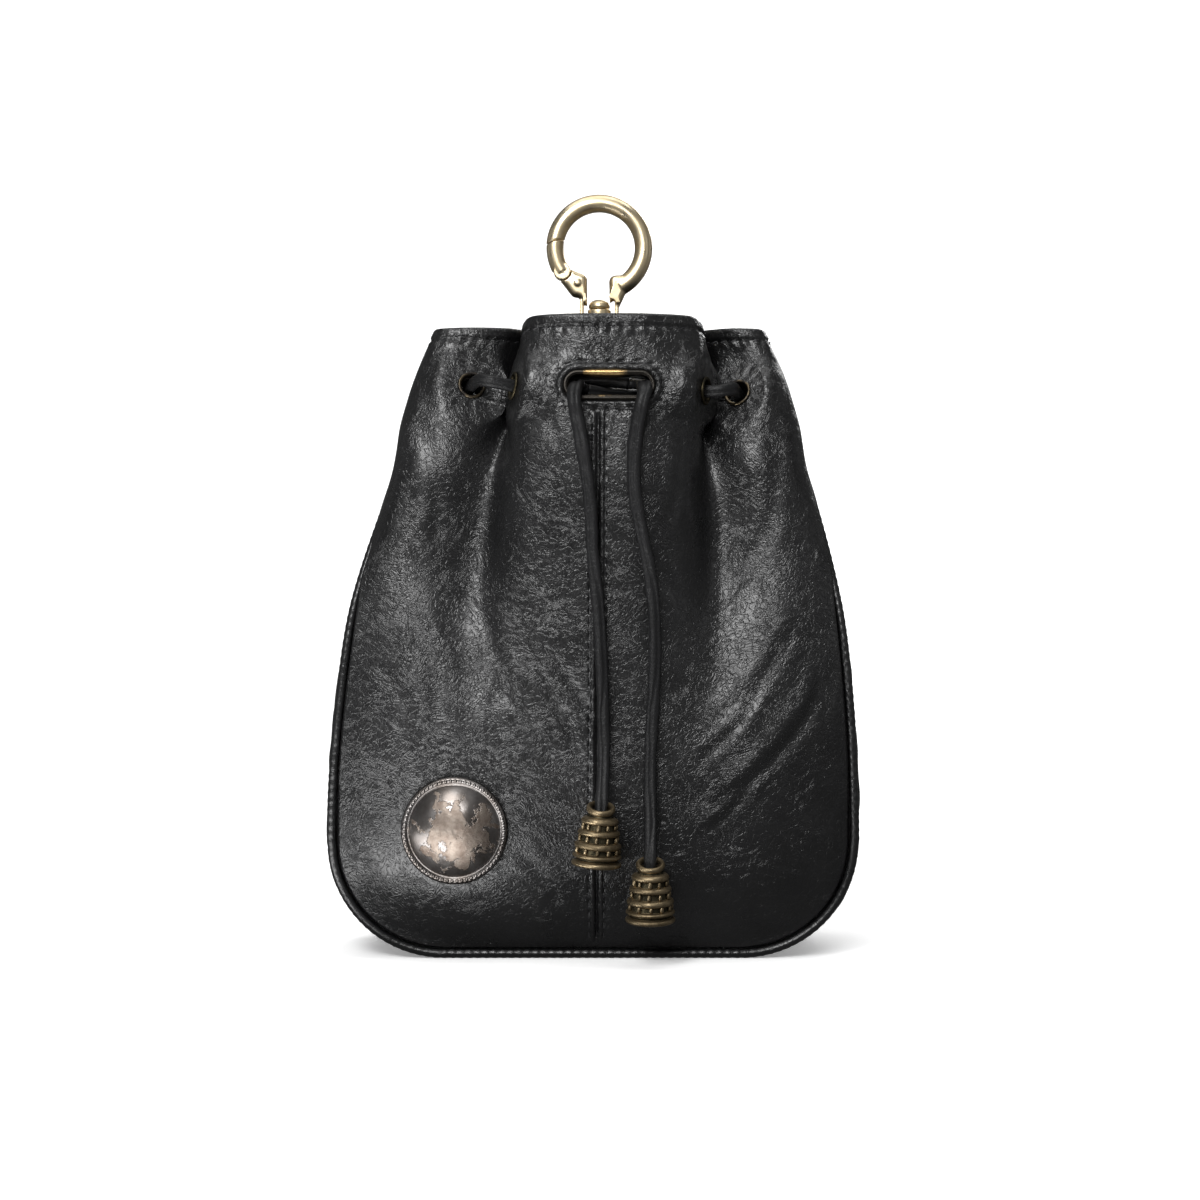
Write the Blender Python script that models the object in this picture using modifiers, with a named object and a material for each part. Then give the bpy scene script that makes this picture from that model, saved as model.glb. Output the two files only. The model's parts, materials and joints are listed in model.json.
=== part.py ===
# Drawstring pouch bag: black leather body with a gathered mouth, piped seams, a metal
# grommet and eyelets for the drawstring, two bell beads, a domed concho and a ring clasp.
# Metres, +Z up, front facing -Y, origin on the floor under the middle of the base.

import functools
import math

import bmesh
import bpy
from mathutils import Matrix, Vector

MM = 0.001

# Driving dimensions of the leather body
BAG_HEIGHT = 176 * MM
SEAM_HALF_WIDTH = 71.9 * MM
BASE_DEPTH = 48 * MM
CORNER_RADIUS = 31 * MM
FRONT_BELLY = 8.5 * MM
BACK_BELLY = 6.5 * MM
GUSSET_BULGE = 2.2 * MM
LEATHER = 1.6 * MM
PIPING_RADIUS = 1.25 * MM
GAP = 0.3 * MM
SEAM_CLEARANCE = 0.55 * MM
TURN_ROOM = 0.5 * MM
HEM_DIP = 1.8 * MM

# Drawstring and its metal fittings
CORD_RADIUS = 1.6 * MM
EYELET_RIM = 4.0 * MM
EYELET_BORE = 2.9 * MM
EYELET_BARREL = 3.35 * MM
EYELET_FLANGE = 0.5 * MM
SLOT_LENGTH = 25.5 * MM
SLOT_HEIGHT = 8.6 * MM
SLOT_RIM = 1.7 * MM
SLOT_BARREL = 0.75 * MM
SLOT_BACK_RIM = 0.6 * MM
SLOT_RIM_THICKNESS = 1.1 * MM
BEAD_LENGTH = 17.0 * MM
BEAD_RADIUS = 6.9 * MM
BEAD_BANDS = 5
BEAD_MOUTH_SHARE = 0.55
BEAD_WALL_SHARE = 0.78
BEAD_SIDES = 12
LEFT_BEAD_TOP = 43.5 * MM
RIGHT_BEAD_TOP = 29.0 * MM

# Concho
CONCHO_RADIUS = 14.6 * MM
CONCHO_DOME = 4.2 * MM
CONCHO_EDGE = 1.8 * MM

# Ring clasp
RING_X = 1.8 * MM
RING_CENTRE_HEIGHT = 199.1 * MM
RING_RADIUS = 12.65 * MM
BAR_RADIUS = 2.35 * MM
HOOP_START = math.radians(192)
HOOP_END = math.radians(-62)
GATE_END = math.radians(164)
PIVOT_ANGLE = math.radians(213)
GATE_REACH = 8.85 * MM
PIVOT_CLEARANCE = 0.35 * MM
LUG_THICKNESS = 1.6 * MM
LUG_RADIUS = 1.9 * MM
LUG_LENGTH = 4.8 * MM
FOOT_THICKNESS = 4.2 * MM
POST_CLEARANCE = 0.35 * MM
PIN_RADIUS = 0.6 * MM
POST_RADIUS = 1.3 * MM
HEAD_RADIUS = 3.0 * MM
HEAD_HEIGHT = 2.7 * MM
BOSS_RADIUS = 3.1 * MM
BOSS_DROP = 17.8 * MM         # from the ring's middle down to the boss's top
BRIDGE_DROP = 26.1 * MM       # from the ring's middle down to the bridge's underside
BRIDGE_THICKNESS = 2.2 * MM
ARM_REACH = 5.6 * MM
ARM_THICKNESS = 1.2 * MM
ARM_WIDTH = 3.4 * MM
ARM_TOP = 1.17               # where the arms run into the feet, in ring radii below its middle
EYE_WIDTH = 17.5 * MM
EYE_HEIGHT = 8.0 * MM
EYE_WIRE = 1.1 * MM
TAB_WIDTH = 8.5 * MM
TAB_LEATHER = 1.4 * MM
TAB_STANDOFF = 1.3 * MM
TAB_SEAT_LOW = 126 * MM
TAB_SEAT_TOP = 146 * MM

# Side seams: height share, half width share, lean as a share of the half width,
# and how far the front and back seam lines lie from the middle, as shares of half the depth
SEAM_LINE = (
    # height, half width, lean, front, back
    (0.00, 1.000, 0.000, 1.00, 1.00),
    (0.25, 1.000, 0.002, 1.00, 1.00),
    (0.42, 0.972, 0.008, 0.98, 0.98),
    (0.56, 0.925, 0.014, 0.88, 0.94),
    (0.75, 0.800, 0.030, 0.52, 0.80),
    (0.89, 0.690, 0.024, 0.24, 0.64),
    (1.00, 0.572, 0.020, 0.06, 0.50),
)

# Front fold lines, from the left seam to the right one. Across is the share of the panel
# when it lies flat. At the neck and at the mouth, x is a share of the half width of the
# seams there, and out is how far it stands in front of the seams, a share of half the depth.
FRONT_FOLDS = (
    # name, across, neck x, neck out, mouth x, mouth out
    ("left seam", -1.00, -1.000, 0.00, -1.000, 0.00),
    ("left lobe outside", -0.925, -1.040, 0.20, -1.100, 0.20),
    ("left lobe shoulder", -0.81, -0.965, 0.41, -1.035, 0.42),
    ("left lobe face", -0.68, -0.800, 0.50, -0.835, 0.47),
    ("left lobe inside", -0.56, -0.640, 0.41, -0.610, 0.37),
    ("left valley", -0.47, -0.500, 0.14, -0.435, 0.08),
    ("left wall", -0.40, -0.478, 0.41, -0.500, 0.52),
    ("centre lobe left", -0.31, -0.415, 0.66, -0.445, 0.94),
    ("centre lobe half left", -0.16, -0.215, 0.81, -0.200, 1.15),
    ("centre", 0.00, 0.020, 0.83, 0.080, 1.18),
    ("centre lobe half right", 0.16, 0.260, 0.81, 0.370, 1.16),
    ("centre lobe right", 0.31, 0.420, 0.66, 0.630, 0.96),
    ("right wall", 0.39, 0.488, 0.40, 0.695, 0.56),
    ("right valley", 0.46, 0.505, 0.10, 0.640, 0.00),
    ("right lobe inside", 0.55, 0.640, 0.38, 0.770, 0.22),
    ("right lobe face", 0.68, 0.800, 0.48, 0.930, 0.40),
    ("right lobe shoulder", 0.81, 0.960, 0.40, 1.075, 0.38),
    ("right lobe outside", 0.925, 1.035, 0.20, 1.115, 0.18),
    ("right seam", 1.00, 1.000, 0.00, 1.000, 0.00),
)

# Back fold lines, as above, with out measured behind the seams
BACK_FOLDS = (
    # name, across, neck x, neck out, mouth x, mouth out
    ("left seam", -1.00, -1.000, 0.00, -1.000, 0.00),
    ("left lobe outside", -0.88, -0.955, 0.20, -1.030, 0.20),
    ("left lobe shoulder", -0.70, -0.770, 0.36, -0.840, 0.46),
    ("left lobe face", -0.48, -0.530, 0.43, -0.580, 0.56),
    ("left lobe inside", -0.28, -0.310, 0.37, -0.340, 0.46),
    ("left of the middle", -0.13, -0.140, 0.28, -0.150, 0.26),
    ("middle valley", 0.00, 0.000, 0.25, 0.020, 0.20),
    ("right of the middle", 0.13, 0.140, 0.28, 0.190, 0.26),
    ("right lobe inside", 0.28, 0.310, 0.37, 0.380, 0.46),
    ("right lobe face", 0.48, 0.530, 0.43, 0.620, 0.56),
    ("right lobe shoulder", 0.70, 0.770, 0.36, 0.870, 0.46),
    ("right lobe outside", 0.88, 0.955, 0.20, 1.040, 0.20),
    ("right seam", 1.00, 1.000, 0.00, 1.000, 0.00),
)

# Broad dents and swellings of the leather: place across as a share, height as a share of
# the bag's, spread both ways as shares, and depth as a share of the front's belly
FRONT_DENTS = (
    # across, height, spread across, spread up, depth
    (-0.42, 0.47, 0.16, 0.12, -0.26),
    (-0.12, 0.40, 0.14, 0.10, -0.14),
    (0.40, 0.44, 0.15, 0.13, -0.24),
    (0.62, 0.30, 0.18, 0.10, 0.16),
    (-0.66, 0.42, 0.16, 0.16, 0.14),
    (0.30, 0.18, 0.16, 0.10, 0.10),
)

FOLDS_START = 0.33          # share of the height where the folds begin to show
NECK = 0.75                 # share of the height where they are deepest
OVERHANG_START = 0.62       # share of the height above which the side lobes stand out past the seams
GUSSET_FOLD_DEPTH = 0.17    # inward fold of the gusset at the mouth, a share of the half width

# Rows of the leather above the corners, as shares of the height left, and in the corners
FINE_ROWS = (0, 0.10, 0.20, 0.30, 0.40, 0.48, 0.55, 0.62, 0.68, 0.735, 0.785, 0.83,
             0.875, 0.915, 0.955, 1)
COARSE_ROWS = (0, 0.16, 0.32, 0.48, 0.61, 0.725, 0.825, 0.91, 1)
ARC_STEPS = 5
NARROW_FOLD = 0.085         # fold lines nearer than this have no line of points between them

# Where the metal fittings sit: share across the panel and height
SLOT_PLACE = (0.0, BAG_HEIGHT - 19.1 * MM)
CONCHO_PLACE = (-0.535, 35.9 * MM)
FRONT_EYELETS = (
    ("eyelet_front_left", -0.632, BAG_HEIGHT - 17.8 * MM),
    ("eyelet_wall_left", -0.365, BAG_HEIGHT - 18.4 * MM),
    ("eyelet_wall_right", 0.361, BAG_HEIGHT - 19.8 * MM),
    ("eyelet_front_right", 0.612, BAG_HEIGHT - 19.7 * MM),
)
BACK_EYELETS = (
    ("eyelet_back_left", -0.21, BAG_HEIGHT - 19 * MM),
    ("eyelet_back_right", 0.21, BAG_HEIGHT - 19 * MM),
)
PATCH_FADE = 1.7            # leather is pressed flat under a fitting, fading out at this share
EYELET_PATCH = 8.0 * MM
SLOT_PATCH = (15.5 * MM, 8.0 * MM)
CONCHO_PATCH = 15.5 * MM

# The drawstring's route in millimetres: the held stretch from behind the left end of the
# slot, through the right wall and front eyelets, round inside the mouth, out and in again at
# the back, and through the left eyelets to behind the right end of the slot
HELD_ROUTE = (
    (-1.6, -27.3, 155.8), (4.0, -25.4, 155.0), (13.0, -23.3, 154.9), (22.6, -21.2, 155.9),
    (28.7, -20.9, 156.3), (33.6, -22.4, 156.1), (36.6, -22.3, 156.5), (38.9, -20.0, 157.0),
    (40.4, -14.9, 156.3), (41.6, -10.5, 154.9), (40.0, -4.5, 154.6), (36.4, 2.0, 155.0),
    (33.4, 8.5, 155.4), (28.0, 13.6, 156.0), (20.5, 17.0, 156.4), (15.5, 20.9, 156.7),
    (13.4, 24.9, 157.4), (9.2, 26.3, 157.6), (2.2, 26.6, 157.7), (-4.6, 26.3, 157.6),
    (-8.8, 24.9, 157.4), (-10.9, 20.9, 156.7), (-15.9, 17.0, 156.4), (-23.9, 13.6, 156.0),
    (-29.6, 8.5, 155.6), (-32.2, 2.0, 155.4), (-34.6, -4.5, 155.6), (-35.0, -10.5, 156.6),
    (-33.7, -16.4, 158.2), (-31.4, -21.2, 159.2), (-28.4, -23.0, 158.8), (-24.4, -22.5, 158.0),
    (-19.0, -21.0, 157.3), (-13.0, -21.8, 157.9), (-4.0, -23.6, 158.8), (4.0, -25.0, 158.8),
    (10.0, -26.9, 157.9),
)

# The two free ends, from inside the slot down into their beads
LEFT_END_ROUTE = (
    (-2.05, -27.45, 155.87), (-3.3, -28.2, 156.2), (-4.1, -29.9, 156.7), (-4.5, -33.2, 156.6),
    (-5.0, -36.0, 154.6),
    (-4.8, -37.2, 151.0), (-3.7, -36.4, 146.0), (-2.6, -34.8, 139.0), (-1.2, -34.7, 130.0),
    (-0.4, -34.4, 121.0), (0.0, -34.0, 112.0), (1.0, -33.8, 102.0), (1.9, -33.9, 91.0),
    (2.5, -34.2, 80.0), (2.9, -34.8, 68.0), (3.0, -36.2, 56.0), (2.6, -38.2, 47.0),
    (2.1, -39.6, 41.0), (1.7, -39.8, 36.0),
)
RIGHT_END_ROUTE = (
    (10.47, -27.06, 157.83), (12.1, -27.7, 157.6), (13.5, -29.6, 157.2), (14.0, -33.0, 156.6),
    (14.0, -36.0, 154.6),
    (13.2, -37.2, 151.0), (12.1, -36.2, 146.0), (11.2, -34.7, 138.0), (11.4, -34.5, 128.0),
    (12.9, -34.1, 119.0), (15.0, -33.4, 109.0), (16.4, -33.2, 98.0), (16.9, -33.4, 86.0),
    (16.5, -33.8, 72.0), (15.8, -34.2, 60.0), (15.5, -35.4, 48.0), (15.5, -37.6, 37.0),
    (15.5, -39.4, 29.0), (15.5, -39.8, 22.0),
)

# Outlines of the ring's two feet, as shares of the ring's radius from its middle
RIGHT_FOOT = (
    # x, z
    (0.22, -0.74), (0.26, -0.66), (0.36, -0.62), (0.58, -0.62), (0.72, -0.80), (0.63, -0.96),
    (0.455, -1.34), (0.385, -1.33), (0.34, -1.17), (0.235, -1.28),
)
LEFT_FOOT = (
    # x, z
    (-0.27, -1.33), (-0.33, -1.30), (-0.43, -1.14), (-0.60, -1.12), (-0.78, -0.88),
    (-0.95, -0.68), (-0.66, -0.48), (-0.31, -0.62), (-0.27, -0.68),
)

# Colours and surface of the materials: red, green, blue, roughness, metallic
FINISHES = {
    "black_leather": (0.012, 0.012, 0.013, 0.38, 0.0),
    "leather_cord": (0.015, 0.015, 0.016, 0.5, 0.0),
    "antique_gold": (0.55, 0.44, 0.25, 0.3, 1.0),
    "antique_brass": (0.23, 0.17, 0.09, 0.35, 1.0),
    "blackened_brass": (0.09, 0.075, 0.06, 0.35, 1.0),
    "tarnished_silver": (0.42, 0.38, 0.35, 0.3, 1.0),
}


# Numbers that follow a rule

def smooth_step(value):
    """Rises gently from 0 to 1 while the value does."""
    share = min(1.0, max(0.0, value))
    return share * share * (3 - 2 * share)


def smooth_rows(rows, column, value, key=0):
    """A smooth curve through one column of a table, read at a value of its key column."""
    keys = [row[key] for row in rows]
    points = [row[column] for row in rows]
    value = min(keys[-1], max(keys[0], value))
    index = max(i for i in range(len(keys) - 1) if keys[i] <= value)
    slopes = []
    for i in (index, index + 1):
        before = max(0, i - 1)
        after = min(len(keys) - 1, i + 1)
        slopes.append((points[after] - points[before]) / (keys[after] - keys[before]))
    span = keys[index + 1] - keys[index]
    t = (value - keys[index]) / span
    return (
        (2 * t ** 3 - 3 * t ** 2 + 1) * points[index]
        + (t ** 3 - 2 * t ** 2 + t) * span * slopes[0]
        + (3 * t ** 2 - 2 * t ** 3) * points[index + 1]
        + (t ** 3 - t ** 2) * span * slopes[1]
    )


def smooth_route(points, spacing):
    """Points at an even spacing on a smooth curve through chosen ones."""
    vectors = [Vector(point) * MM for point in points]
    distances = [0.0]
    for a, b in zip(vectors, vectors[1:]):
        distances.append(distances[-1] + (b - a).length)
    rows = [(d, v.x, v.y, v.z) for d, v in zip(distances, vectors)]
    count = max(2, round(distances[-1] / spacing))
    steps = [distances[-1] * i / count for i in range(count + 1)]
    return [Vector([smooth_rows(rows, column, step) for column in (1, 2, 3)]) for step in steps]


# The leather surface

def seam(height, column):
    return smooth_rows(SEAM_LINE, column, height / BAG_HEIGHT)


def seam_half_width(height):
    """Half the distance between the side seams, rounded into the base by the corner arcs."""
    half = SEAM_HALF_WIDTH * seam(height, 1)
    drop = CORNER_RADIUS + PIPING_RADIUS - height
    if drop <= 0:
        return half
    drop = min(drop, CORNER_RADIUS)
    return half - CORNER_RADIUS + math.sqrt(CORNER_RADIUS ** 2 - drop ** 2)


def lean(height):
    return SEAM_HALF_WIDTH * seam(height, 2)


def edge_inset():
    """How far a panel's edge stops short of the seam line, to leave room for the piping."""
    return PIPING_RADIUS + SEAM_CLEARANCE


def panel_half_width(height):
    """Half the width of a panel at the base, its edge held inside the seam line by the piping,
    and the seam line's own half width higher up."""
    start = CORNER_RADIUS + PIPING_RADIUS
    inset = edge_inset()
    freed = smooth_step((height - start) / CORNER_RADIUS)
    half = SEAM_HALF_WIDTH * seam(height, 1) - inset * (1 - freed)
    radius = CORNER_RADIUS - inset
    drop = start - height
    if drop <= 0:
        return half
    drop = min(drop, radius)
    return half - radius + math.sqrt(radius ** 2 - drop ** 2)


def edge_step(height):
    """How far a panel's edge is drawn back along the panel, above the base's corners. It needs
    more room where the panel turns from its face to its side."""
    start = CORNER_RADIUS + PIPING_RADIUS
    share = height / BAG_HEIGHT
    turning = smooth_step((share - 0.42) / 0.12) * (1 - smooth_step((share - 0.74) / 0.12))
    return (edge_inset() + TURN_ROOM * turning) * smooth_step((height - start) / CORNER_RADIUS)


def belly(across, height):
    """How full the panel is here, from 0 at its seams to 1 in the middle."""
    share_up = (height - PIPING_RADIUS - edge_inset()) / BAG_HEIGHT
    sideways = max(0.0, 1 - abs(across) ** 3.2)
    upwards = min(1.0, max(0.0, share_up / 0.16))
    return sideways ** 0.8 * math.sin(0.5 * math.pi * upwards) ** 0.75


def dents(table, across, height):
    total = 0.0
    for centre, middle, spread, rise, depth in table:
        distance = ((across - centre) / spread) ** 2 + ((height / BAG_HEIGHT - middle) / rise) ** 2
        total += depth * math.exp(-distance)
    return total


def panel_point(folds, dent_table, fullness, side, across, height):
    """A point on the outer face of a panel. Side is -1 for the front and 1 for the back."""
    share = height / BAG_HEIGHT
    half = panel_half_width(height)
    depth = BASE_DEPTH / 2
    line_column = 3 if side < 0 else 4
    line = seam(height, line_column)
    inside = 1 - abs(across) ** 8
    flat_out = fullness * (belly(across, height) + inside * dents(dent_table, across, height))
    gather = smooth_step((share - FOLDS_START) / (NECK - FOLDS_START))
    rise = smooth_step((share - NECK) / (1 - NECK))
    neck_x = smooth_rows(folds, 2, across, key=1)
    neck_out = smooth_rows(folds, 3, across, key=1)
    mouth_x = smooth_rows(folds, 4, across, key=1)
    mouth_out = smooth_rows(folds, 5, across, key=1)
    fold_x = neck_x + (mouth_x - neck_x) * rise
    fold_out = neck_out + (mouth_out - neck_out) * rise
    neck_line = seam(NECK * BAG_HEIGHT, line_column)
    mouth_line = seam(BAG_HEIGHT, line_column)
    gathered_line = neck_line + (mouth_line - neck_line) * rise
    at_edge = abs(across) ** 6
    gathered_line += (line - gathered_line) * at_edge
    x_share = across + (fold_x - across) * gather
    past_seam = max(0.0, abs(x_share) - 1) * (1 - smooth_step((share - OVERHANG_START) / 0.12))
    x = half * (x_share - math.copysign(past_seam, x_share))
    flat = depth * line + flat_out
    gathered = depth * (gathered_line + fold_out)
    out = flat + (gathered - flat) * gather
    return Vector((x + lean(height), side * out, height))


def hem_line(across, height):
    """Lowers the rows near the mouth a little from the centre lobe to the side lobes."""
    sideways = smooth_step((abs(across) - 0.3) / 0.15)
    return height - HEM_DIP * sideways * smooth_step((height / BAG_HEIGHT - 0.8) / 0.2)


def front_surface(across, height):
    return panel_point(FRONT_FOLDS, FRONT_DENTS, FRONT_BELLY, -1, across, height)


def back_surface(across, height):
    return panel_point(BACK_FOLDS, (), BACK_BELLY, 1, across, height)


@functools.lru_cache(maxsize=None)
def edge_share(surface, end, height):
    """The share across at which a panel is an edge's step away from the seam line."""
    step = edge_step(height)
    corner = surface(end, height)
    near, far = 0.7, 1.0
    for _ in range(24):
        middle = (near + far) / 2
        if (surface(end * middle, height) - corner).length > step:
            near = middle
        else:
            far = middle
    return far


def raw_front(across, height):
    return front_surface(across * edge_share(front_surface, math.copysign(1, across), height), height)


def raw_back(across, height):
    return back_surface(across * edge_share(back_surface, math.copysign(1, across), height), height)


def fitting_frame(surface, across, height, outwards):
    """The place and the outward direction of the leather under a fitting."""
    step = 0.02
    centre = surface(across, height)
    sideways = surface(across + step, height) - surface(across - step, height)
    upwards = surface(across, height + 2 * MM) - surface(across, height - 2 * MM)
    normal = sideways.cross(upwards).normalized() * outwards
    return centre, normal


def press_flat(point, centre, normal, reach):
    """Moves a point towards the flat place under a fitting, reach being its half sizes."""
    offset = point - centre
    away = offset.dot(normal)
    if abs(away) > 6 * MM:
        return point
    in_plane = offset - normal * away
    upward = in_plane.z
    sideways = math.sqrt(max(0.0, in_plane.length_squared - upward ** 2))
    share = math.hypot(sideways / reach[0], upward / reach[1])
    weight = 1 - smooth_step((share - 1) / (PATCH_FADE - 1))
    return point - normal * away * weight


def front_patches():
    patches = [(fitting_frame(raw_front, *SLOT_PLACE, 1), SLOT_PATCH)]
    patches.append((fitting_frame(raw_front, *CONCHO_PLACE, 1), (CONCHO_PATCH, CONCHO_PATCH)))
    for _, across, height in FRONT_EYELETS:
        patches.append((fitting_frame(raw_front, across, height, 1), (EYELET_PATCH, EYELET_PATCH)))
    return patches


def back_patches():
    patches = []
    for _, across, height in BACK_EYELETS:
        patches.append((fitting_frame(raw_back, across, height, -1), (EYELET_PATCH, EYELET_PATCH)))
    return patches


def pressed(point, patches):
    for (centre, normal), reach in patches:
        point = press_flat(point, centre, normal, reach)
    return point


# Building blocks

def new_material(name):
    red, green, blue, roughness, metallic = FINISHES[name]
    material = bpy.data.materials.new(name)
    material.use_nodes = True
    shader = material.node_tree.nodes["Principled BSDF"]
    shader.inputs["Base Color"].default_value = (red, green, blue, 1)
    shader.inputs["Roughness"].default_value = roughness
    shader.inputs["Metallic"].default_value = metallic
    return material


def add_object(name, data, finish, collection=None):
    obj = bpy.data.objects.new(name, data)
    (collection or BAG).objects.link(obj)
    if finish:
        data.materials.append(MATERIALS[finish])
    return obj


def sheet_from_rows(name, rows, finish):
    """An open sheet of leather through rows of points, its normals outward by the rows' order."""
    mesh = bpy.data.meshes.new(name)
    width = len(rows[0])
    faces = []
    for r in range(len(rows) - 1):
        for c in range(width - 1):
            a = r * width + c
            faces.append((a, a + 1, a + 1 + width, a + width))
    mesh.from_pydata([point for row in rows for point in row], [], faces)
    mesh.shade_smooth()
    return add_object(name, mesh, finish)


def thicken(obj, thickness):
    solid = obj.modifiers.new("Leather thickness", "SOLIDIFY")
    solid.thickness = thickness
    solid.offset = -1
    solid.use_even_offset = False
    solid.use_quality_normals = True
    return solid


def cut(obj, cutter, label):
    modifier = obj.modifiers.new(label, "BOOLEAN")
    modifier.operation = "DIFFERENCE"
    modifier.object = cutter
    return modifier


def join(obj, other, label):
    modifier = obj.modifiers.new(label, "BOOLEAN")
    modifier.operation = "UNION"
    modifier.object = other
    return modifier


def as_guide(obj):
    obj.hide_render = True
    obj.display_type = "WIRE"
    return obj


def cylinder_mesh(name, radius, length, place, direction, sides):
    """The mesh of a cylinder centred on its place, along a direction."""
    mesh = bpy.data.meshes.new(name)
    shape = bmesh.new()
    bmesh.ops.create_cone(
        shape, cap_ends=True, segments=sides, radius1=radius, radius2=radius, depth=length
    )
    turn = Vector((0, 0, 1)).rotation_difference(Vector(direction)).to_matrix().to_4x4()
    bmesh.ops.transform(shape, matrix=Matrix.Translation(place) @ turn, verts=shape.verts)
    shape.to_mesh(mesh)
    shape.free()
    return mesh


def cylinder(name, radius, length, place, direction, sides=24):
    """A cylinder guide centred on its place, along a direction."""
    mesh = cylinder_mesh(name, radius, length, place, direction, sides)
    return as_guide(add_object(name, mesh, None, CUTTERS))


def block(name, low, high):
    """A box guide between two corners."""
    mesh = bpy.data.meshes.new(name)
    shape = bmesh.new()
    bmesh.ops.create_cube(shape, size=1)
    size = Vector(high) - Vector(low)
    middle = (Vector(high) + Vector(low)) / 2
    scale = Matrix.Diagonal((size.x, size.y, size.z, 1))
    bmesh.ops.transform(shape, matrix=Matrix.Translation(middle) @ scale, verts=shape.verts)
    shape.to_mesh(mesh)
    shape.free()
    return as_guide(add_object(name, mesh, None, CUTTERS))


def tube(name, points, radius, finish, resolution=2, closed=False, collection=None):
    """A round tube along points, with filled ends."""
    curve = bpy.data.curves.new(name, "CURVE")
    curve.dimensions = "3D"
    curve.bevel_depth = radius
    curve.bevel_resolution = resolution
    curve.use_fill_caps = not closed
    spline = curve.splines.new("POLY")
    spline.points.add(len(points) - 1)
    for slot, point in zip(spline.points, points):
        slot.co = (*point, 1)
    spline.use_cyclic_u = closed
    spline.use_smooth = True
    return add_object(name, curve, finish, collection)


def mesh_from_curve(obj, finish, collection):
    """Replaces a curve by its mesh in world places, with the loose caps welded on."""
    bpy.context.view_layer.update()
    graph = bpy.context.evaluated_depsgraph_get()
    mesh = bpy.data.meshes.new_from_object(obj.evaluated_get(graph))
    mesh.transform(obj.matrix_world)
    shape = bmesh.new()
    shape.from_mesh(mesh)
    bmesh.ops.remove_doubles(shape, verts=shape.verts, dist=0.01 * MM)
    bmesh.ops.recalc_face_normals(shape, faces=shape.faces)
    shape.to_mesh(mesh)
    shape.free()
    mesh.materials.clear()
    name = obj.name
    bpy.data.objects.remove(obj)
    return add_object(name, mesh, finish, collection)


def plate(name, outline, thickness, finish, collection=None):
    """A flat outline in X and Z, as thick in Y as given, centred on Y = 0."""
    curve = bpy.data.curves.new(name, "CURVE")
    curve.dimensions = "2D"
    curve.fill_mode = "BOTH"
    curve.extrude = thickness / 2
    spline = curve.splines.new("POLY")
    spline.points.add(len(outline) - 1)
    for slot, (x, z) in zip(spline.points, outline):
        slot.co = (x, z, 0, 1)
    spline.use_cyclic_u = True
    obj = add_object(name, curve, finish, collection)
    obj.rotation_euler = (math.pi / 2, 0, 0)
    return obj


def turned(name, profile, finish, sides, axis="Z", collection=None):
    """A turned shape from a closed or open profile of (radius, height), top to bottom."""
    mesh = bpy.data.meshes.new(name)
    points = [(radius, 0, height) for radius, height in profile]
    mesh.from_pydata(points, [(i, i + 1) for i in range(len(points) - 1)], [])
    obj = add_object(name, mesh, finish, collection)
    screw = obj.modifiers.new("Turned", "SCREW")
    screw.axis = axis
    screw.angle = math.tau
    screw.steps = sides
    screw.render_steps = sides
    screw.use_merge_vertices = True
    screw.merge_threshold = 0.00001
    screw.use_smooth_shade = True
    return obj


def closed_profile(points):
    return list(points) + [points[0]]


# Leather pieces

def between_folds(folds):
    """Every fold line of a table, and the place halfway to the next one unless it is near."""
    places = []
    for row, following in zip(folds, folds[1:]):
        places.append(row[1])
        if following[1] - row[1] > NARROW_FOLD:
            places.append((row[1] + following[1]) / 2)
    places.append(folds[-1][1])
    return places


def panel_heights(upper):
    """Heights of a panel's rows: through the corner arc, then up to the mouth."""
    inset = edge_inset()
    radius = CORNER_RADIUS - inset
    heights = []
    for i in range(ARC_STEPS):
        angle = 0.5 * math.pi * i / ARC_STEPS
        heights.append(PIPING_RADIUS + inset + radius * (1 - math.cos(angle)))
    return heights + side_heights(upper)


def side_heights(upper):
    start = PIPING_RADIUS + CORNER_RADIUS
    return [start + (BAG_HEIGHT - start) * share for share in upper]


def make_front_panel():
    patches = front_patches()
    rows = []
    for height in panel_heights(FINE_ROWS):
        places = between_folds(FRONT_FOLDS)
        rows.append([pressed(raw_front(a, hem_line(a, height)), patches) for a in places])
    panel = sheet_from_rows("front_panel", rows, "black_leather")
    thicken(panel, LEATHER)
    (centre, normal), _ = patches[0]
    cut(panel, slot_cutter(centre, normal), "Slot for the drawstring")
    for (name, _, _), (frame, _) in zip(FRONT_EYELETS, patches[2:]):
        hole = cylinder(name + "_hole", EYELET_BARREL + GAP, 6 * LEATHER, *frame, sides=16)
        cut(panel, hole, "Hole for " + name)
    return panel


def make_back_panel():
    patches = back_patches()
    rows = []
    for height in panel_heights(COARSE_ROWS):
        places = reversed(between_folds(BACK_FOLDS))
        rows.append([pressed(raw_back(a, hem_line(a, height)), patches) for a in places])
    panel = sheet_from_rows("back_panel", rows, "black_leather")
    thicken(panel, LEATHER)
    for (name, _, _), (frame, _) in zip(BACK_EYELETS, patches):
        hole = cylinder(name + "_hole", EYELET_BARREL + GAP, 6 * LEATHER, *frame, sides=16)
        cut(panel, hole, "Hole for " + name)
    return panel


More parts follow.
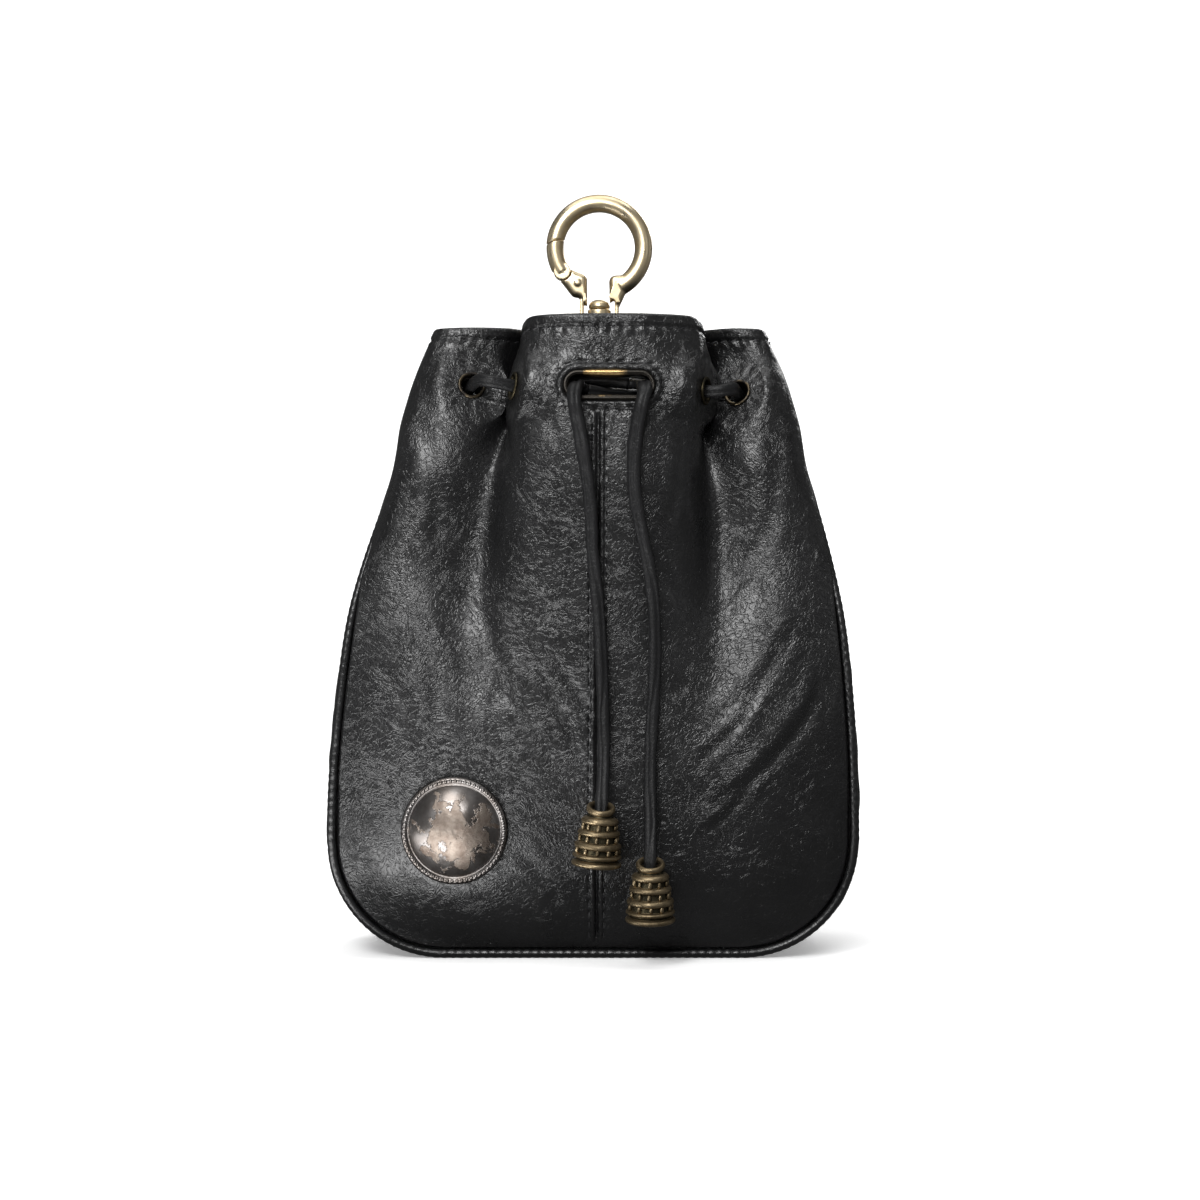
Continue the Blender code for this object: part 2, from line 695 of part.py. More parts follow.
def seam_path(side_rows, arc_steps, base_steps, top=BAG_HEIGHT):
    """The seam line seen from the front, from the left end of the mouth round the base to the
    right end: x, height and the outward direction."""
    start = PIPING_RADIUS + CORNER_RADIUS
    half_base = SEAM_HALF_WIDTH - CORNER_RADIUS
    right = []
    for i in range(base_steps):
        right.append((half_base * i / base_steps, PIPING_RADIUS, 0.0, -1.0))
    for i in range(arc_steps):
        angle = 0.5 * math.pi * i / arc_steps
        x = half_base + CORNER_RADIUS * math.sin(angle)
        right.append((x, start - CORNER_RADIUS * math.cos(angle), math.sin(angle), -math.cos(angle)))
    for height in side_heights(side_rows):
        height = min(height, top)
        right.append((seam_half_width(height), height, 1.0, 0.0))
    left = [(-x, height, -out_x, out_z) for x, height, out_x, out_z in reversed(right[1:])]
    path = []
    for x, height, out_x, out_z in left + right:
        shift = lean(height)
        path.append((x + shift, height, out_x, out_z))
    return path


def seam_depth(height, side):
    return side * BASE_DEPTH / 2 * seam(height, 3 if side < 0 else 4)


def gusset_point(place, station):
    """A point of the gusset from its front seam, station -1, to its back seam, station 1."""
    x, height, out_x, out_z = place
    share = height / BAG_HEIGHT
    fold = GUSSET_FOLD_DEPTH * SEAM_HALF_WIDTH * smooth_step((share - 0.5) / 0.5)
    bulge = GUSSET_BULGE * smooth_step((height - 0.4 * CORNER_RADIUS) / CORNER_RADIUS) * (1 - share)
    crown = 1 - abs(station) ** 1.5
    beside = PIPING_RADIUS * (1 - smooth_step((share - 0.4) / 0.3))
    outwards = beside + (bulge - fold) * crown
    front = seam_depth(height, -1)
    back = seam_depth(height, 1)
    depth = front + (back - front) * (station + 1) / 2
    return Vector((x + out_x * outwards, depth, height + out_z * outwards))


def make_gusset():
    """One strip of leather that goes down one side, under the base and up the other side."""
    rows = []
    stations = (-0.72, -0.4, 0, 0.4, 0.72)
    for place in seam_path(COARSE_ROWS, ARC_STEPS, 1):
        row = [gusset_point(place, station) for station in stations]
        ends = []
        for station in (-1, 1):
            edge = gusset_point(place, station)
            inner = gusset_point(place, station * 0.95)
            ends.append(edge + (inner - edge).normalized() * edge_inset())
        row = [ends[0]] + row + [ends[1]]
        for point in row:
            point.z = min(point.z, BAG_HEIGHT - HEM_DIP)
        rows.append(row)
    gusset = sheet_from_rows("gusset", rows, "black_leather")
    thicken(gusset, LEATHER)
    return gusset


def make_piping(name, side, side_rows):
    """A leather cord sewn along a seam, its lowest side on the floor."""
    points = []
    for x, height, _, _ in seam_path(side_rows, ARC_STEPS + 1, 1, BAG_HEIGHT - HEM_DIP):
        points.append(Vector((x, seam_depth(height, side), height)))
    return tube(name, points, PIPING_RADIUS, "black_leather", resolution=1)


# Metal fittings on the leather

def racetrack(length, height, arc_steps):
    """An outline with round ends, as points in X and Z."""
    radius = height / 2
    straight = length / 2 - radius
    points = []
    for end in (1, -1):
        for i in range(arc_steps + 1):
            angle = -0.5 * math.pi + math.pi * i / arc_steps
            points.append((end * (straight + radius * math.cos(angle)), end * radius * math.sin(angle)))
    return points


def upright_turn(normal):
    """The turn that lays a shape's -Y side on an outward direction and keeps its X level."""
    front = Vector(normal).normalized()
    level = Vector((0, 0, 1)).cross(front).normalized() if abs(front.z) < 0.99 else Vector((1, 0, 0))
    up = front.cross(level)
    turn = Matrix((level, -front, up)).transposed()
    return turn.to_4x4()


def slot_cutter(centre, normal):
    """The hole for the long grommet, a gap wider than its barrel all round."""
    beyond = SLOT_BARREL + GAP - SLOT_RIM
    outline = racetrack(SLOT_LENGTH + 2 * beyond, SLOT_HEIGHT + 2 * beyond, 6)
    curve = plate("slot_cutter", outline, 8 * LEATHER, None, CUTTERS)
    curve.matrix_world = Matrix.Translation(centre) @ upright_turn(normal) @ Matrix.Rotation(math.pi / 2, 4, "X")
    return as_guide(mesh_from_curve(curve, None, CUTTERS))


def swept_ring(name, outline_at, profile, place, finish):
    """A closed profile of (outward, forward) carried round a closed outline."""
    rows = []
    for outward, forward in profile:
        rows.append([Vector((x, -forward, z)) for x, z in outline_at(outward)])
    rows.append(rows[0])
    mesh = bpy.data.meshes.new(name)
    width = len(rows[0])
    points = [point for row in rows[:-1] for point in row]
    faces = []
    for r in range(len(profile)):
        following = (r + 1) % len(profile)
        for c in range(width):
            d = (c + 1) % width
            faces.append((r * width + c, following * width + c, following * width + d, r * width + d))
    mesh.from_pydata(points, [], faces)
    mesh.shade_smooth()
    obj = add_object(name, mesh, finish)
    obj.matrix_world = place
    return obj


def make_slot_grommet(frame):
    """The long grommet: a rounded front rim, a barrel through the leather and a back rim."""
    centre, normal = frame
    rim = SLOT_RIM
    back = LEATHER + GAP
    profile = (
        (0.0, -back - SLOT_BACK_RIM),
        (0.0, 0.5 * SLOT_RIM_THICKNESS + GAP),
        (0.3 * rim, SLOT_RIM_THICKNESS + GAP),
        (0.75 * rim, SLOT_RIM_THICKNESS + GAP),
        (rim, 0.45 * SLOT_RIM_THICKNESS + GAP),
        (rim, GAP),
        (SLOT_BARREL, GAP),
        (SLOT_BARREL, -back),
        (rim, -back),
        (rim, -back - SLOT_BACK_RIM),
    )

    def outline_at(outward):
        return racetrack(
            SLOT_LENGTH - 2 * SLOT_RIM + 2 * outward, SLOT_HEIGHT - 2 * SLOT_RIM + 2 * outward, 5
        )

    place = Matrix.Translation(centre) @ upright_turn(normal)
    return swept_ring("slot_grommet", outline_at, profile, place, "blackened_brass")


def make_eyelet(name, frame):
    """A rolled eyelet: front rim, barrel through the leather, back rim."""
    centre, normal = frame
    top = GAP + EYELET_FLANGE
    bottom = -LEATHER - GAP - 0.4 * MM
    profile = closed_profile((
        (EYELET_BORE, top * 0.7),
        ((EYELET_BORE + EYELET_RIM) / 2, top),
        (EYELET_RIM, GAP),
        (EYELET_BARREL, GAP),
        (EYELET_BARREL, -LEATHER - GAP),
        (EYELET_RIM, -LEATHER - GAP),
        (EYELET_BORE, bottom),
    ))
    eyelet = turned(name, profile, "blackened_brass", 10)
    turn = Vector((0, 0, 1)).rotation_difference(normal).to_matrix().to_4x4()
    eyelet.matrix_world = Matrix.Translation(centre) @ turn
    return eyelet


def make_concho(frame):
    """A domed button with a raised rim of small beads, which the fine surface adds."""
    centre, normal = frame
    radius = CONCHO_RADIUS
    edge = CONCHO_EDGE
    profile = (
        (0.0, GAP + CONCHO_EDGE * 0.6 + CONCHO_DOME),
        (0.3 * radius, GAP + CONCHO_EDGE * 0.6 + CONCHO_DOME * 0.92),
        (0.58 * radius, GAP + CONCHO_EDGE * 0.6 + CONCHO_DOME * 0.66),
        (0.8 * radius, GAP + CONCHO_EDGE * 0.6 + CONCHO_DOME * 0.27),
        (0.89 * radius, GAP + edge * 0.55),
        (0.93 * radius, GAP + edge),
        (0.98 * radius, GAP + edge),
        (radius, GAP + edge * 0.5),
        (radius * 0.98, GAP),
        (0.0, GAP),
    )
    concho = turned("concho", profile, "tarnished_silver", 24)
    turn = Vector((0, 0, 1)).rotation_difference(normal).to_matrix().to_4x4()
    concho.matrix_world = Matrix.Translation(centre) @ turn
    return concho


# Drawstring and beads

def make_cord(name, route):
    return tube(name, [Vector(point) * MM for point in route], CORD_RADIUS, "leather_cord", resolution=1)


def make_bead(name, route, top_height):
    """A bell bead of stacked bands on the end of a cord, leaning as the cord does."""
    ends = smooth_route(route, 1.0 * MM)
    last = ends[-1]
    earlier = min(ends, key=lambda point: abs(point.z - top_height))
    axis = (earlier - last).normalized()
    bore = CORD_RADIUS + 1.3 * GAP
    band = BEAD_LENGTH / BEAD_BANDS
    profile = []
    for i in range(BEAD_BANDS):
        share = (i + 0.55) / BEAD_BANDS
        radius = bead_radius(share)
        profile.append((radius, -band * (i + 0.12)))
        profile.append((radius, -band * (i + 0.78)))
        if i < BEAD_BANDS - 1:
            profile.append((0.9 * radius, -band * (i + 0.95)))
    inner = BEAD_WALL_SHARE * bead_radius(1)
    profile.append((inner, -BEAD_LENGTH + 0.1 * band))
    profile.append((bore, -0.35 * BEAD_LENGTH))
    profile.append((bore, 0.0))
    bead = turned(name, closed_profile(profile), "antique_brass", BEAD_SIDES)
    turn = Vector((0, 0, 1)).rotation_difference(axis).to_matrix().to_4x4()
    bead.matrix_world = Matrix.Translation(earlier) @ turn
    return bead


def bead_radius(share):
    """The bead's outer radius, from its narrow mouth to its wide foot."""
    return BEAD_RADIUS * (BEAD_MOUTH_SHARE + (1 - BEAD_MOUTH_SHARE) * math.sin(0.5 * math.pi * share))


# Hanger inside the mouth, and the swivel eye that the clasp turns on

def make_swivel_eye():
    """A wire eye for the leather tab, with a riveted post on it."""
    middle = RING_CENTRE_HEIGHT - BRIDGE_DROP - 2 * GAP
    head = RING_CENTRE_HEIGHT - BOSS_DROP + GAP
    profile = (
        (0.0, head + HEAD_HEIGHT),
        (0.5 * HEAD_RADIUS, head + 0.9 * HEAD_HEIGHT),
        (0.87 * HEAD_RADIUS, head + 0.6 * HEAD_HEIGHT),
        (HEAD_RADIUS, head + 0.2 * HEAD_HEIGHT),
        (0.95 * HEAD_RADIUS, head),
        (POST_RADIUS, head),
        (POST_RADIUS, middle),
        (2 * POST_RADIUS, middle),
        (2 * POST_RADIUS, middle - 2 * EYE_WIRE),
        (0.0, middle - 2 * EYE_WIRE),
    )
    eye = turned("swivel_eye", profile, "antique_gold", 14)
    eye.location = (RING_X, 0, 0)
    top = middle - EYE_WIRE
    outline = racetrack(EYE_WIDTH - 2 * EYE_WIRE, EYE_HEIGHT - 2 * EYE_WIRE, 5)
    centre = top - EYE_HEIGHT / 2 + EYE_WIRE
    wire = tube("eye_wire", [Vector((x, 0, centre + z)) for x, z in outline], EYE_WIRE, None,
                resolution=1, closed=True, collection=CUTTERS)
    wire = as_guide(mesh_from_curve(wire, None, CUTTERS))
    wire.location = eye.location
    join(eye, wire, "Wire eye")
    return eye


def eye_bar_height():
    return RING_CENTRE_HEIGHT - BRIDGE_DROP - 2 * GAP - EYE_HEIGHT + EYE_WIRE


def make_hanger_tab():
    """A doubled strap, sewn flat inside the back panel and looped round the wire eye."""
    half = TAB_LEATHER / 2
    clear = TAB_STANDOFF
    seat = []
    for i in range(5):
        height = TAB_SEAT_LOW + (TAB_SEAT_TOP - TAB_SEAT_LOW) * i / 4
        inner = min(raw_back(share, height).y for share in (-0.06, 0, 0.06)) - LEATHER
        seat.append((inner - clear - half, height))
    bar = eye_bar_height()
    turn = EYE_WIRE + GAP + half
    start = math.atan2(seat[-1][1] - bar, seat[-1][0])
    around = []
    for i in range(9):
        angle = start + 0.5 * math.pi + math.pi * i / 8
        around.append((turn * math.cos(angle), bar + turn * math.sin(angle)))
    front_layer = [(y - TAB_LEATHER - 0.7 * GAP, z) for y, z in reversed(seat)]
    line = seat + around + front_layer
    rows = []
    for y, z in line:
        rows.append([Vector((RING_X + side * TAB_WIDTH / 2, y, z)) for side in (-1, 0, 1)])
    tab = sheet_from_rows("hanger_tab", rows, "black_leather")
    solid = thicken(tab, TAB_LEATHER)
    solid.offset = 0
    return tab


# Ring clasp, modelled round the middle of its ring and hung on two empties: one at the middle
# of the ring, on the axis of the swivel, and one at the gate's pivot

def empty_at(name, place, parent=None):
    empty = bpy.data.objects.new(name, None)
    empty.empty_display_size = 5 * MM
    CUTTERS.objects.link(empty)
    empty.parent = parent
    empty.location = place
    return empty


def hang(obj, parent, place=(0, 0, 0)):
    obj.parent = parent
    obj.location = place
    return obj


def ring_arc(start, end, step=math.radians(12)):
    count = max(2, round(abs(end - start) / step))
    points = []
    for i in range(count + 1):
        angle = start + (end - start) * i / count
        points.append(Vector((RING_RADIUS * math.cos(angle), 0, RING_RADIUS * math.sin(angle))))
    return points


def bar_mesh(name, points, radius):
    """The mesh of a round bar along points."""
    wire = tube(name, points, radius, None, resolution=3, collection=CUTTERS)
    solid = mesh_from_curve(wire, None, CUTTERS)
    mesh = solid.data
    bpy.data.objects.remove(solid)
    return mesh


def solid_plate(name, outline, thickness):
    return as_guide(mesh_from_curve(plate(name, outline, thickness, None, CUTTERS), None, CUTTERS))


def pivot_point():
    return Vector((RING_RADIUS * math.cos(PIVOT_ANGLE), 0, RING_RADIUS * math.sin(PIVOT_ANGLE)))


def lug_outline(pivot):
    """A tongue with a round end about the pivot, running into the left foot."""
    direction = Vector((0.8, 0, -0.6))
    side = Vector((0.6, 0, 0.8))
    radius = LUG_RADIUS
    points = []
    for i in range(9):
        angle = math.pi * (0.5 + i / 8)
        points.append(pivot + direction * (radius * math.cos(angle)) + side * (radius * math.sin(angle)))
    for way in (-1, 1):
        points.append(pivot + direction * LUG_LENGTH + side * (way * radius))
    return [(point.x, point.z) for point in points]


def make_ring(centre, pivot):
    """The hoop with its two feet, the lug for the gate, and the stirrup with its bored boss."""
    hoop = bar_mesh("clasp_ring", ring_arc(HOOP_START, HOOP_END), BAR_RADIUS)
    ring = hang(add_object("clasp_ring", hoop, "antique_gold"), centre)
    tip = cylinder("tip_cutter", GATE_REACH + PIVOT_CLEARANCE / 2, 8 * MM, pivot, (0, 1, 0), 48)
    cut(ring, hang(tip, centre), "Cut for the gate's tip")
    knuckle = cylinder("knuckle_clearance", BAR_RADIUS + PIVOT_CLEARANCE, 8 * MM, pivot, (0, 1, 0), 24)
    hang(knuckle, centre)
    for name, outline in (("right_foot", RIGHT_FOOT), ("left_foot", LEFT_FOOT)):
        foot = solid_plate(name, [(x * RING_RADIUS, z * RING_RADIUS) for x, z in outline], FOOT_THICKNESS)
        edge = foot.modifiers.new("Rounded edges", "BEVEL")
        edge.width = 0.5 * MM
        edge.segments = 1
        if name == "left_foot":
            cut(foot, knuckle, "Clearance for the gate's knuckle")
        join(ring, hang(foot, centre), name.replace("_", " ").capitalize())
    lug = solid_plate("gate_lug", lug_outline(pivot), LUG_THICKNESS)
    join(ring, hang(lug, centre), "Lug for the gate")
    bottom = -BRIDGE_DROP
    for way in (-1, 1):
        sides = sorted((way * (ARM_REACH - ARM_THICKNESS), way * ARM_REACH))
        low = (sides[0], -ARM_WIDTH / 2, bottom)
        high = (sides[1], ARM_WIDTH / 2, -ARM_TOP * RING_RADIUS)
        join(ring, hang(block("stirrup_arm", low, high), centre), "Stirrup arm")
    half_bridge = ARM_REACH - 0.4 * ARM_THICKNESS
    half_depth = ARM_WIDTH / 2 + 0.2 * MM
    bridge = block(
        "bridge", (-half_bridge, -half_depth, bottom), (half_bridge, half_depth, bottom + BRIDGE_THICKNESS)
    )
    join(ring, hang(bridge, centre), "Bridge")
    boss_low = bottom + 0.2 * BRIDGE_THICKNESS
    boss_high = -BOSS_DROP
    middle = Vector((0, 0, (boss_low + boss_high) / 2))
    boss = cylinder("boss", BOSS_RADIUS, boss_high - boss_low, middle, (0, 0, 1), 20)
    join(ring, hang(boss, centre), "Boss")
    post = cylinder("post_bore", POST_RADIUS + POST_CLEARANCE, boss_high - boss_low + 4 * MM, middle, (0, 0, 1), 14)
    cut(ring, hang(post, centre), "Bore for the post")
    pin = cylinder("lug_bore", PIN_RADIUS + GAP, 8 * MM, pivot, (0, 1, 0), 12)
    cut(ring, hang(pin, centre), "Bore for the pin")
    return ring


def make_gate(hinge, pivot):
    """The gate: a curved bar with a forked knuckle that pivots on the lug."""
    bar = bar_mesh("gate", ring_arc(PIVOT_ANGLE, GATE_END, math.radians(8)), BAR_RADIUS)
    gate = hang(add_object("gate", bar, "antique_gold"), hinge, -pivot)
    knuckle = cylinder("knuckle", BAR_RADIUS, FOOT_THICKNESS, pivot, (0, 1, 0), 20)
    join(gate, hang(knuckle, hinge, -pivot), "Knuckle")
    reach = gate.modifiers.new("Tip cut round the pivot", "BOOLEAN")
    reach.operation = "INTERSECT"
    tip = cylinder("tip_reach", GATE_REACH - PIVOT_CLEARANCE / 2, 8 * MM, pivot, (0, 1, 0), 48)
    reach.object = hang(tip, hinge, -pivot)
    fork_radius = BAR_RADIUS + PIVOT_CLEARANCE
    fork = cylinder("fork_slot", fork_radius, LUG_THICKNESS + 2 * GAP, pivot, (0, 1, 0), 20)
    cut(gate, hang(fork, hinge, -pivot), "Slot for the lug")
    bore = cylinder("knuckle_bore", PIN_RADIUS + GAP, 8 * MM, pivot, (0, 1, 0), 12)
    cut(gate, hang(bore, hinge, -pivot), "Bore for the pin")
    return gate


def make_gate_pin(hinge):
    mesh = cylinder_mesh("gate_pin", PIN_RADIUS, FOOT_THICKNESS, Vector(), (0, 1, 0), 12)
    return hang(add_object("gate_pin", mesh, "antique_gold"), hinge)


# Start of the scene

for old in list(bpy.data.objects):
    bpy.data.objects.remove(old)
BAG = bpy.data.collections.new("drawstring_pouch_bag")
CUTTERS = bpy.data.collections.new("cutters")
bpy.context.scene.collection.children.link(BAG)
bpy.context.scene.collection.children.link(CUTTERS)
MATERIALS = {name: new_material(name) for name in FINISHES}

make_front_panel()
make_back_panel()
make_gusset()
make_piping("front_piping", -1, FINE_ROWS)
make_piping("back_piping", 1, COARSE_ROWS)
front_frames = [frame for frame, _ in front_patches()]
make_slot_grommet(front_frames[0])
make_concho(front_frames[1])
for (eyelet_name, _, _), eyelet_frame in zip(FRONT_EYELETS, front_frames[2:]):
    make_eyelet(eyelet_name, eyelet_frame)
for (eyelet_name, _, _), (eyelet_frame, _) in zip(BACK_EYELETS, back_patches()):
    make_eyelet(eyelet_name, eyelet_frame)
make_cord("drawstring", HELD_ROUTE)
make_cord("cord_end_left", LEFT_END_ROUTE)
make_cord("cord_end_right", RIGHT_END_ROUTE)
make_bead("bead_left", LEFT_END_ROUTE, LEFT_BEAD_TOP)
make_bead("bead_right", RIGHT_END_ROUTE, RIGHT_BEAD_TOP)
make_swivel_eye()
make_hanger_tab()
ring_centre = empty_at("ring_centre", (RING_X, 0, RING_CENTRE_HEIGHT))
gate_pivot = empty_at("gate_pivot", pivot_point(), ring_centre)
make_ring(ring_centre, pivot_point())
make_gate(gate_pivot, pivot_point())
make_gate_pin(gate_pivot)
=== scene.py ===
# Drawstring pouch bag: the fine surfaces, stitching, materials, light and camera over the
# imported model. Metres, +Z up, the front faces -Y.

import json
import math
import random

import bmesh
import bpy
import numpy as np
from mathutils import Matrix, Vector, noise

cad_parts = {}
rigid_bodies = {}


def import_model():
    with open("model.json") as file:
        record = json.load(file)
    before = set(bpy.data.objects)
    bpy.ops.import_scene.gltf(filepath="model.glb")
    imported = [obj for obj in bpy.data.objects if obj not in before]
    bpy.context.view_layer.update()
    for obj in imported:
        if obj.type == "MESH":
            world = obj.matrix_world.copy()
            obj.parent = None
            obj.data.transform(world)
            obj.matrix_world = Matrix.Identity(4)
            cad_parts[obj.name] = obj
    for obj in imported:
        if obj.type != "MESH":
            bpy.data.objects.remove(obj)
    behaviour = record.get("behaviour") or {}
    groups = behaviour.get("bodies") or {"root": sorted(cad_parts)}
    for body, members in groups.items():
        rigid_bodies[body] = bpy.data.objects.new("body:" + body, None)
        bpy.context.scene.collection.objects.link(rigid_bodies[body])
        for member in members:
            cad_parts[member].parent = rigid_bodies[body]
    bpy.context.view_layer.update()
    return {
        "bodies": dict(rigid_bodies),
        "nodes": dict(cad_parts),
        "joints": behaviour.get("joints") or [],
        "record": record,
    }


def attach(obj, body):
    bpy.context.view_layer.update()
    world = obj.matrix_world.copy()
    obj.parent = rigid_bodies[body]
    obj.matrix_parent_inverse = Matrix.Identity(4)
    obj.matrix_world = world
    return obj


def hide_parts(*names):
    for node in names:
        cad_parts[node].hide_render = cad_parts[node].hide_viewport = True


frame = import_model()

MM = 0.001

# Driving dimensions of the leather body
BAG_HEIGHT = 176 * MM
SEAM_HALF_WIDTH = 71.9 * MM
BASE_DEPTH = 48 * MM
CORNER_RADIUS = 31 * MM
FRONT_BELLY = 8.5 * MM
BACK_BELLY = 6.5 * MM
GUSSET_BULGE = 2.2 * MM
LEATHER = 1.6 * MM
PIPING_RADIUS = 1.25 * MM
GAP = 0.3 * MM
SEAM_CLEARANCE = 0.55 * MM
TURN_ROOM = 0.5 * MM
HEM_DIP = 1.8 * MM
STITCH_PITCH = 3.3 * MM
HEM_STITCHES = 2.75 * MM      # how far the hem's stitches lie below its edge
SEAM_ROW = 2.0 * MM           # how far each stitch row lies from the upright seam

# Drawstring and its metal fittings
EYELET_RIM = 4.0 * MM
EYELET_BORE = 2.9 * MM
EYELET_BARREL = 3.35 * MM
EYELET_FLANGE = 0.5 * MM
EYELET_HOLE = 3.5 * MM
SLOT_LENGTH = 25.5 * MM
SLOT_HEIGHT = 8.6 * MM
SLOT_RIM = 1.7 * MM
SLOT_BARREL = 0.75 * MM
SLOT_BACK_RIM = 0.6 * MM
SLOT_RIM_THICKNESS = 1.1 * MM
BEAD_LENGTH = 17.0 * MM
LEFT_BEAD_TOP = 43.5 * MM
RIGHT_BEAD_TOP = 29.0 * MM

# Concho
CONCHO_RADIUS = 14.6 * MM
CONCHO_DOME = 4.2 * MM
CONCHO_EDGE = 1.8 * MM

# Ring clasp
RING_X = 1.8 * MM
RING_CENTRE_HEIGHT = 199.1 * MM
RING_RADIUS = 12.65 * MM
BAR_RADIUS = 2.35 * MM
HOOP_START = math.radians(192)
HOOP_END = math.radians(-62)
GATE_END = math.radians(164)
PIVOT_ANGLE = math.radians(213)
GATE_REACH = 8.85 * MM
PIVOT_CLEARANCE = 0.35 * MM
LUG_THICKNESS = 1.6 * MM
LUG_RADIUS = 1.9 * MM
LUG_LENGTH = 4.8 * MM
FOOT_THICKNESS = 4.2 * MM
POST_CLEARANCE = 0.35 * MM
PIN_RADIUS = 0.6 * MM
POST_RADIUS = 1.3 * MM
HEAD_RADIUS = 3.0 * MM
HEAD_HEIGHT = 2.7 * MM
BOSS_RADIUS = 3.1 * MM
BOSS_DROP = 17.8 * MM         # from the ring's middle down to the boss's top
BRIDGE_DROP = 26.1 * MM       # from the ring's middle down to the bridge's underside
BRIDGE_THICKNESS = 2.2 * MM
ARM_REACH = 5.6 * MM
ARM_THICKNESS = 1.2 * MM
ARM_WIDTH = 3.4 * MM
ARM_TOP = 1.17               # where the arms run into the feet, in ring radii below its middle
EYE_WIDTH = 17.5 * MM
EYE_HEIGHT = 8.0 * MM
EYE_WIRE = 1.1 * MM
TAB_WIDTH = 8.5 * MM
TAB_LEATHER = 1.4 * MM
TAB_STANDOFF = 1.3 * MM
TAB_SEAT_LOW = 126 * MM
TAB_SEAT_TOP = 146 * MM

# Side seams: height share, half width share, lean as a share of the half width,
# and how far the front and back seam lines lie from the middle, as shares of half the depth
SEAM_LINE = (
    # height, half width, lean, front, back
    (0.00, 1.000, 0.000, 1.00, 1.00),
    (0.25, 1.000, 0.002, 1.00, 1.00),
    (0.42, 0.972, 0.008, 0.98, 0.98),
    (0.56, 0.925, 0.014, 0.88, 0.94),
    (0.75, 0.800, 0.030, 0.52, 0.80),
    (0.89, 0.690, 0.024, 0.24, 0.64),
    (1.00, 0.572, 0.020, 0.06, 0.50),
)

# Front fold lines, from the left seam to the right one. Across is the share of the panel
# when it lies flat. At the neck and at the mouth, x is a share of the half width of the
# seams there, and out is how far it stands in front of the seams, a share of half the depth.
FRONT_FOLDS = (
    # name, across, neck x, neck out, mouth x, mouth out
    ("left seam", -1.00, -1.000, 0.00, -1.000, 0.00),
    ("left lobe outside", -0.925, -1.040, 0.20, -1.100, 0.20),
    ("left lobe shoulder", -0.81, -0.965, 0.41, -1.035, 0.42),
    ("left lobe face", -0.68, -0.800, 0.50, -0.835, 0.47),
    ("left lobe inside", -0.56, -0.640, 0.41, -0.610, 0.37),
    ("left valley", -0.47, -0.500, 0.14, -0.435, 0.08),
    ("left wall", -0.40, -0.478, 0.41, -0.500, 0.52),
    ("centre lobe left", -0.31, -0.415, 0.66, -0.445, 0.94),
    ("centre lobe half left", -0.16, -0.215, 0.81, -0.200, 1.15),
    ("centre", 0.00, 0.020, 0.83, 0.080, 1.18),
    ("centre lobe half right", 0.16, 0.260, 0.81, 0.370, 1.16),
    ("centre lobe right", 0.31, 0.420, 0.66, 0.630, 0.96),
    ("right wall", 0.39, 0.488, 0.40, 0.695, 0.56),
    ("right valley", 0.46, 0.505, 0.10, 0.640, 0.00),
    ("right lobe inside", 0.55, 0.640, 0.38, 0.770, 0.22),
    ("right lobe face", 0.68, 0.800, 0.48, 0.930, 0.40),
    ("right lobe shoulder", 0.81, 0.960, 0.40, 1.075, 0.38),
    ("right lobe outside", 0.925, 1.035, 0.20, 1.115, 0.18),
    ("right seam", 1.00, 1.000, 0.00, 1.000, 0.00),
)

# Back fold lines, as above, with out measured behind the seams
BACK_FOLDS = (
    # name, across, neck x, neck out, mouth x, mouth out
    ("left seam", -1.00, -1.000, 0.00, -1.000, 0.00),
    ("left lobe outside", -0.88, -0.955, 0.20, -1.030, 0.20),
    ("left lobe shoulder", -0.70, -0.770, 0.36, -0.840, 0.46),
    ("left lobe face", -0.48, -0.530, 0.43, -0.580, 0.56),
    ("left lobe inside", -0.28, -0.310, 0.37, -0.340, 0.46),
    ("left of the middle", -0.13, -0.140, 0.28, -0.150, 0.26),
    ("middle valley", 0.00, 0.000, 0.25, 0.020, 0.20),
    ("right of the middle", 0.13, 0.140, 0.28, 0.190, 0.26),
    ("right lobe inside", 0.28, 0.310, 0.37, 0.380, 0.46),
    ("right lobe face", 0.48, 0.530, 0.43, 0.620, 0.56),
    ("right lobe shoulder", 0.70, 0.770, 0.36, 0.870, 0.46),
    ("right lobe outside", 0.88, 0.955, 0.20, 1.040, 0.20),
    ("right seam", 1.00, 1.000, 0.00, 1.000, 0.00),
)

# Broad dents and swellings of the leather: place across as a share, height as a share of
# the bag's, spread both ways as shares, and depth as a share of the front's belly
FRONT_DENTS = (
    # across, height, spread across, spread up, depth
    (-0.42, 0.47, 0.16, 0.12, -0.26),
    (-0.12, 0.40, 0.14, 0.10, -0.14),
    (0.40, 0.44, 0.15, 0.13, -0.24),
    (0.62, 0.30, 0.18, 0.10, 0.16),
    (-0.66, 0.42, 0.16, 0.16, 0.14),
    (0.30, 0.18, 0.16, 0.10, 0.10),
)

FOLDS_START = 0.33          # share of the height where the folds begin to show
NECK = 0.75                 # share of the height where they are deepest
OVERHANG_START = 0.62       # share of the height above which the side lobes stand out past the seams
GUSSET_FOLD_DEPTH = 0.17    # inward fold of the gusset at the mouth, a share of the half width


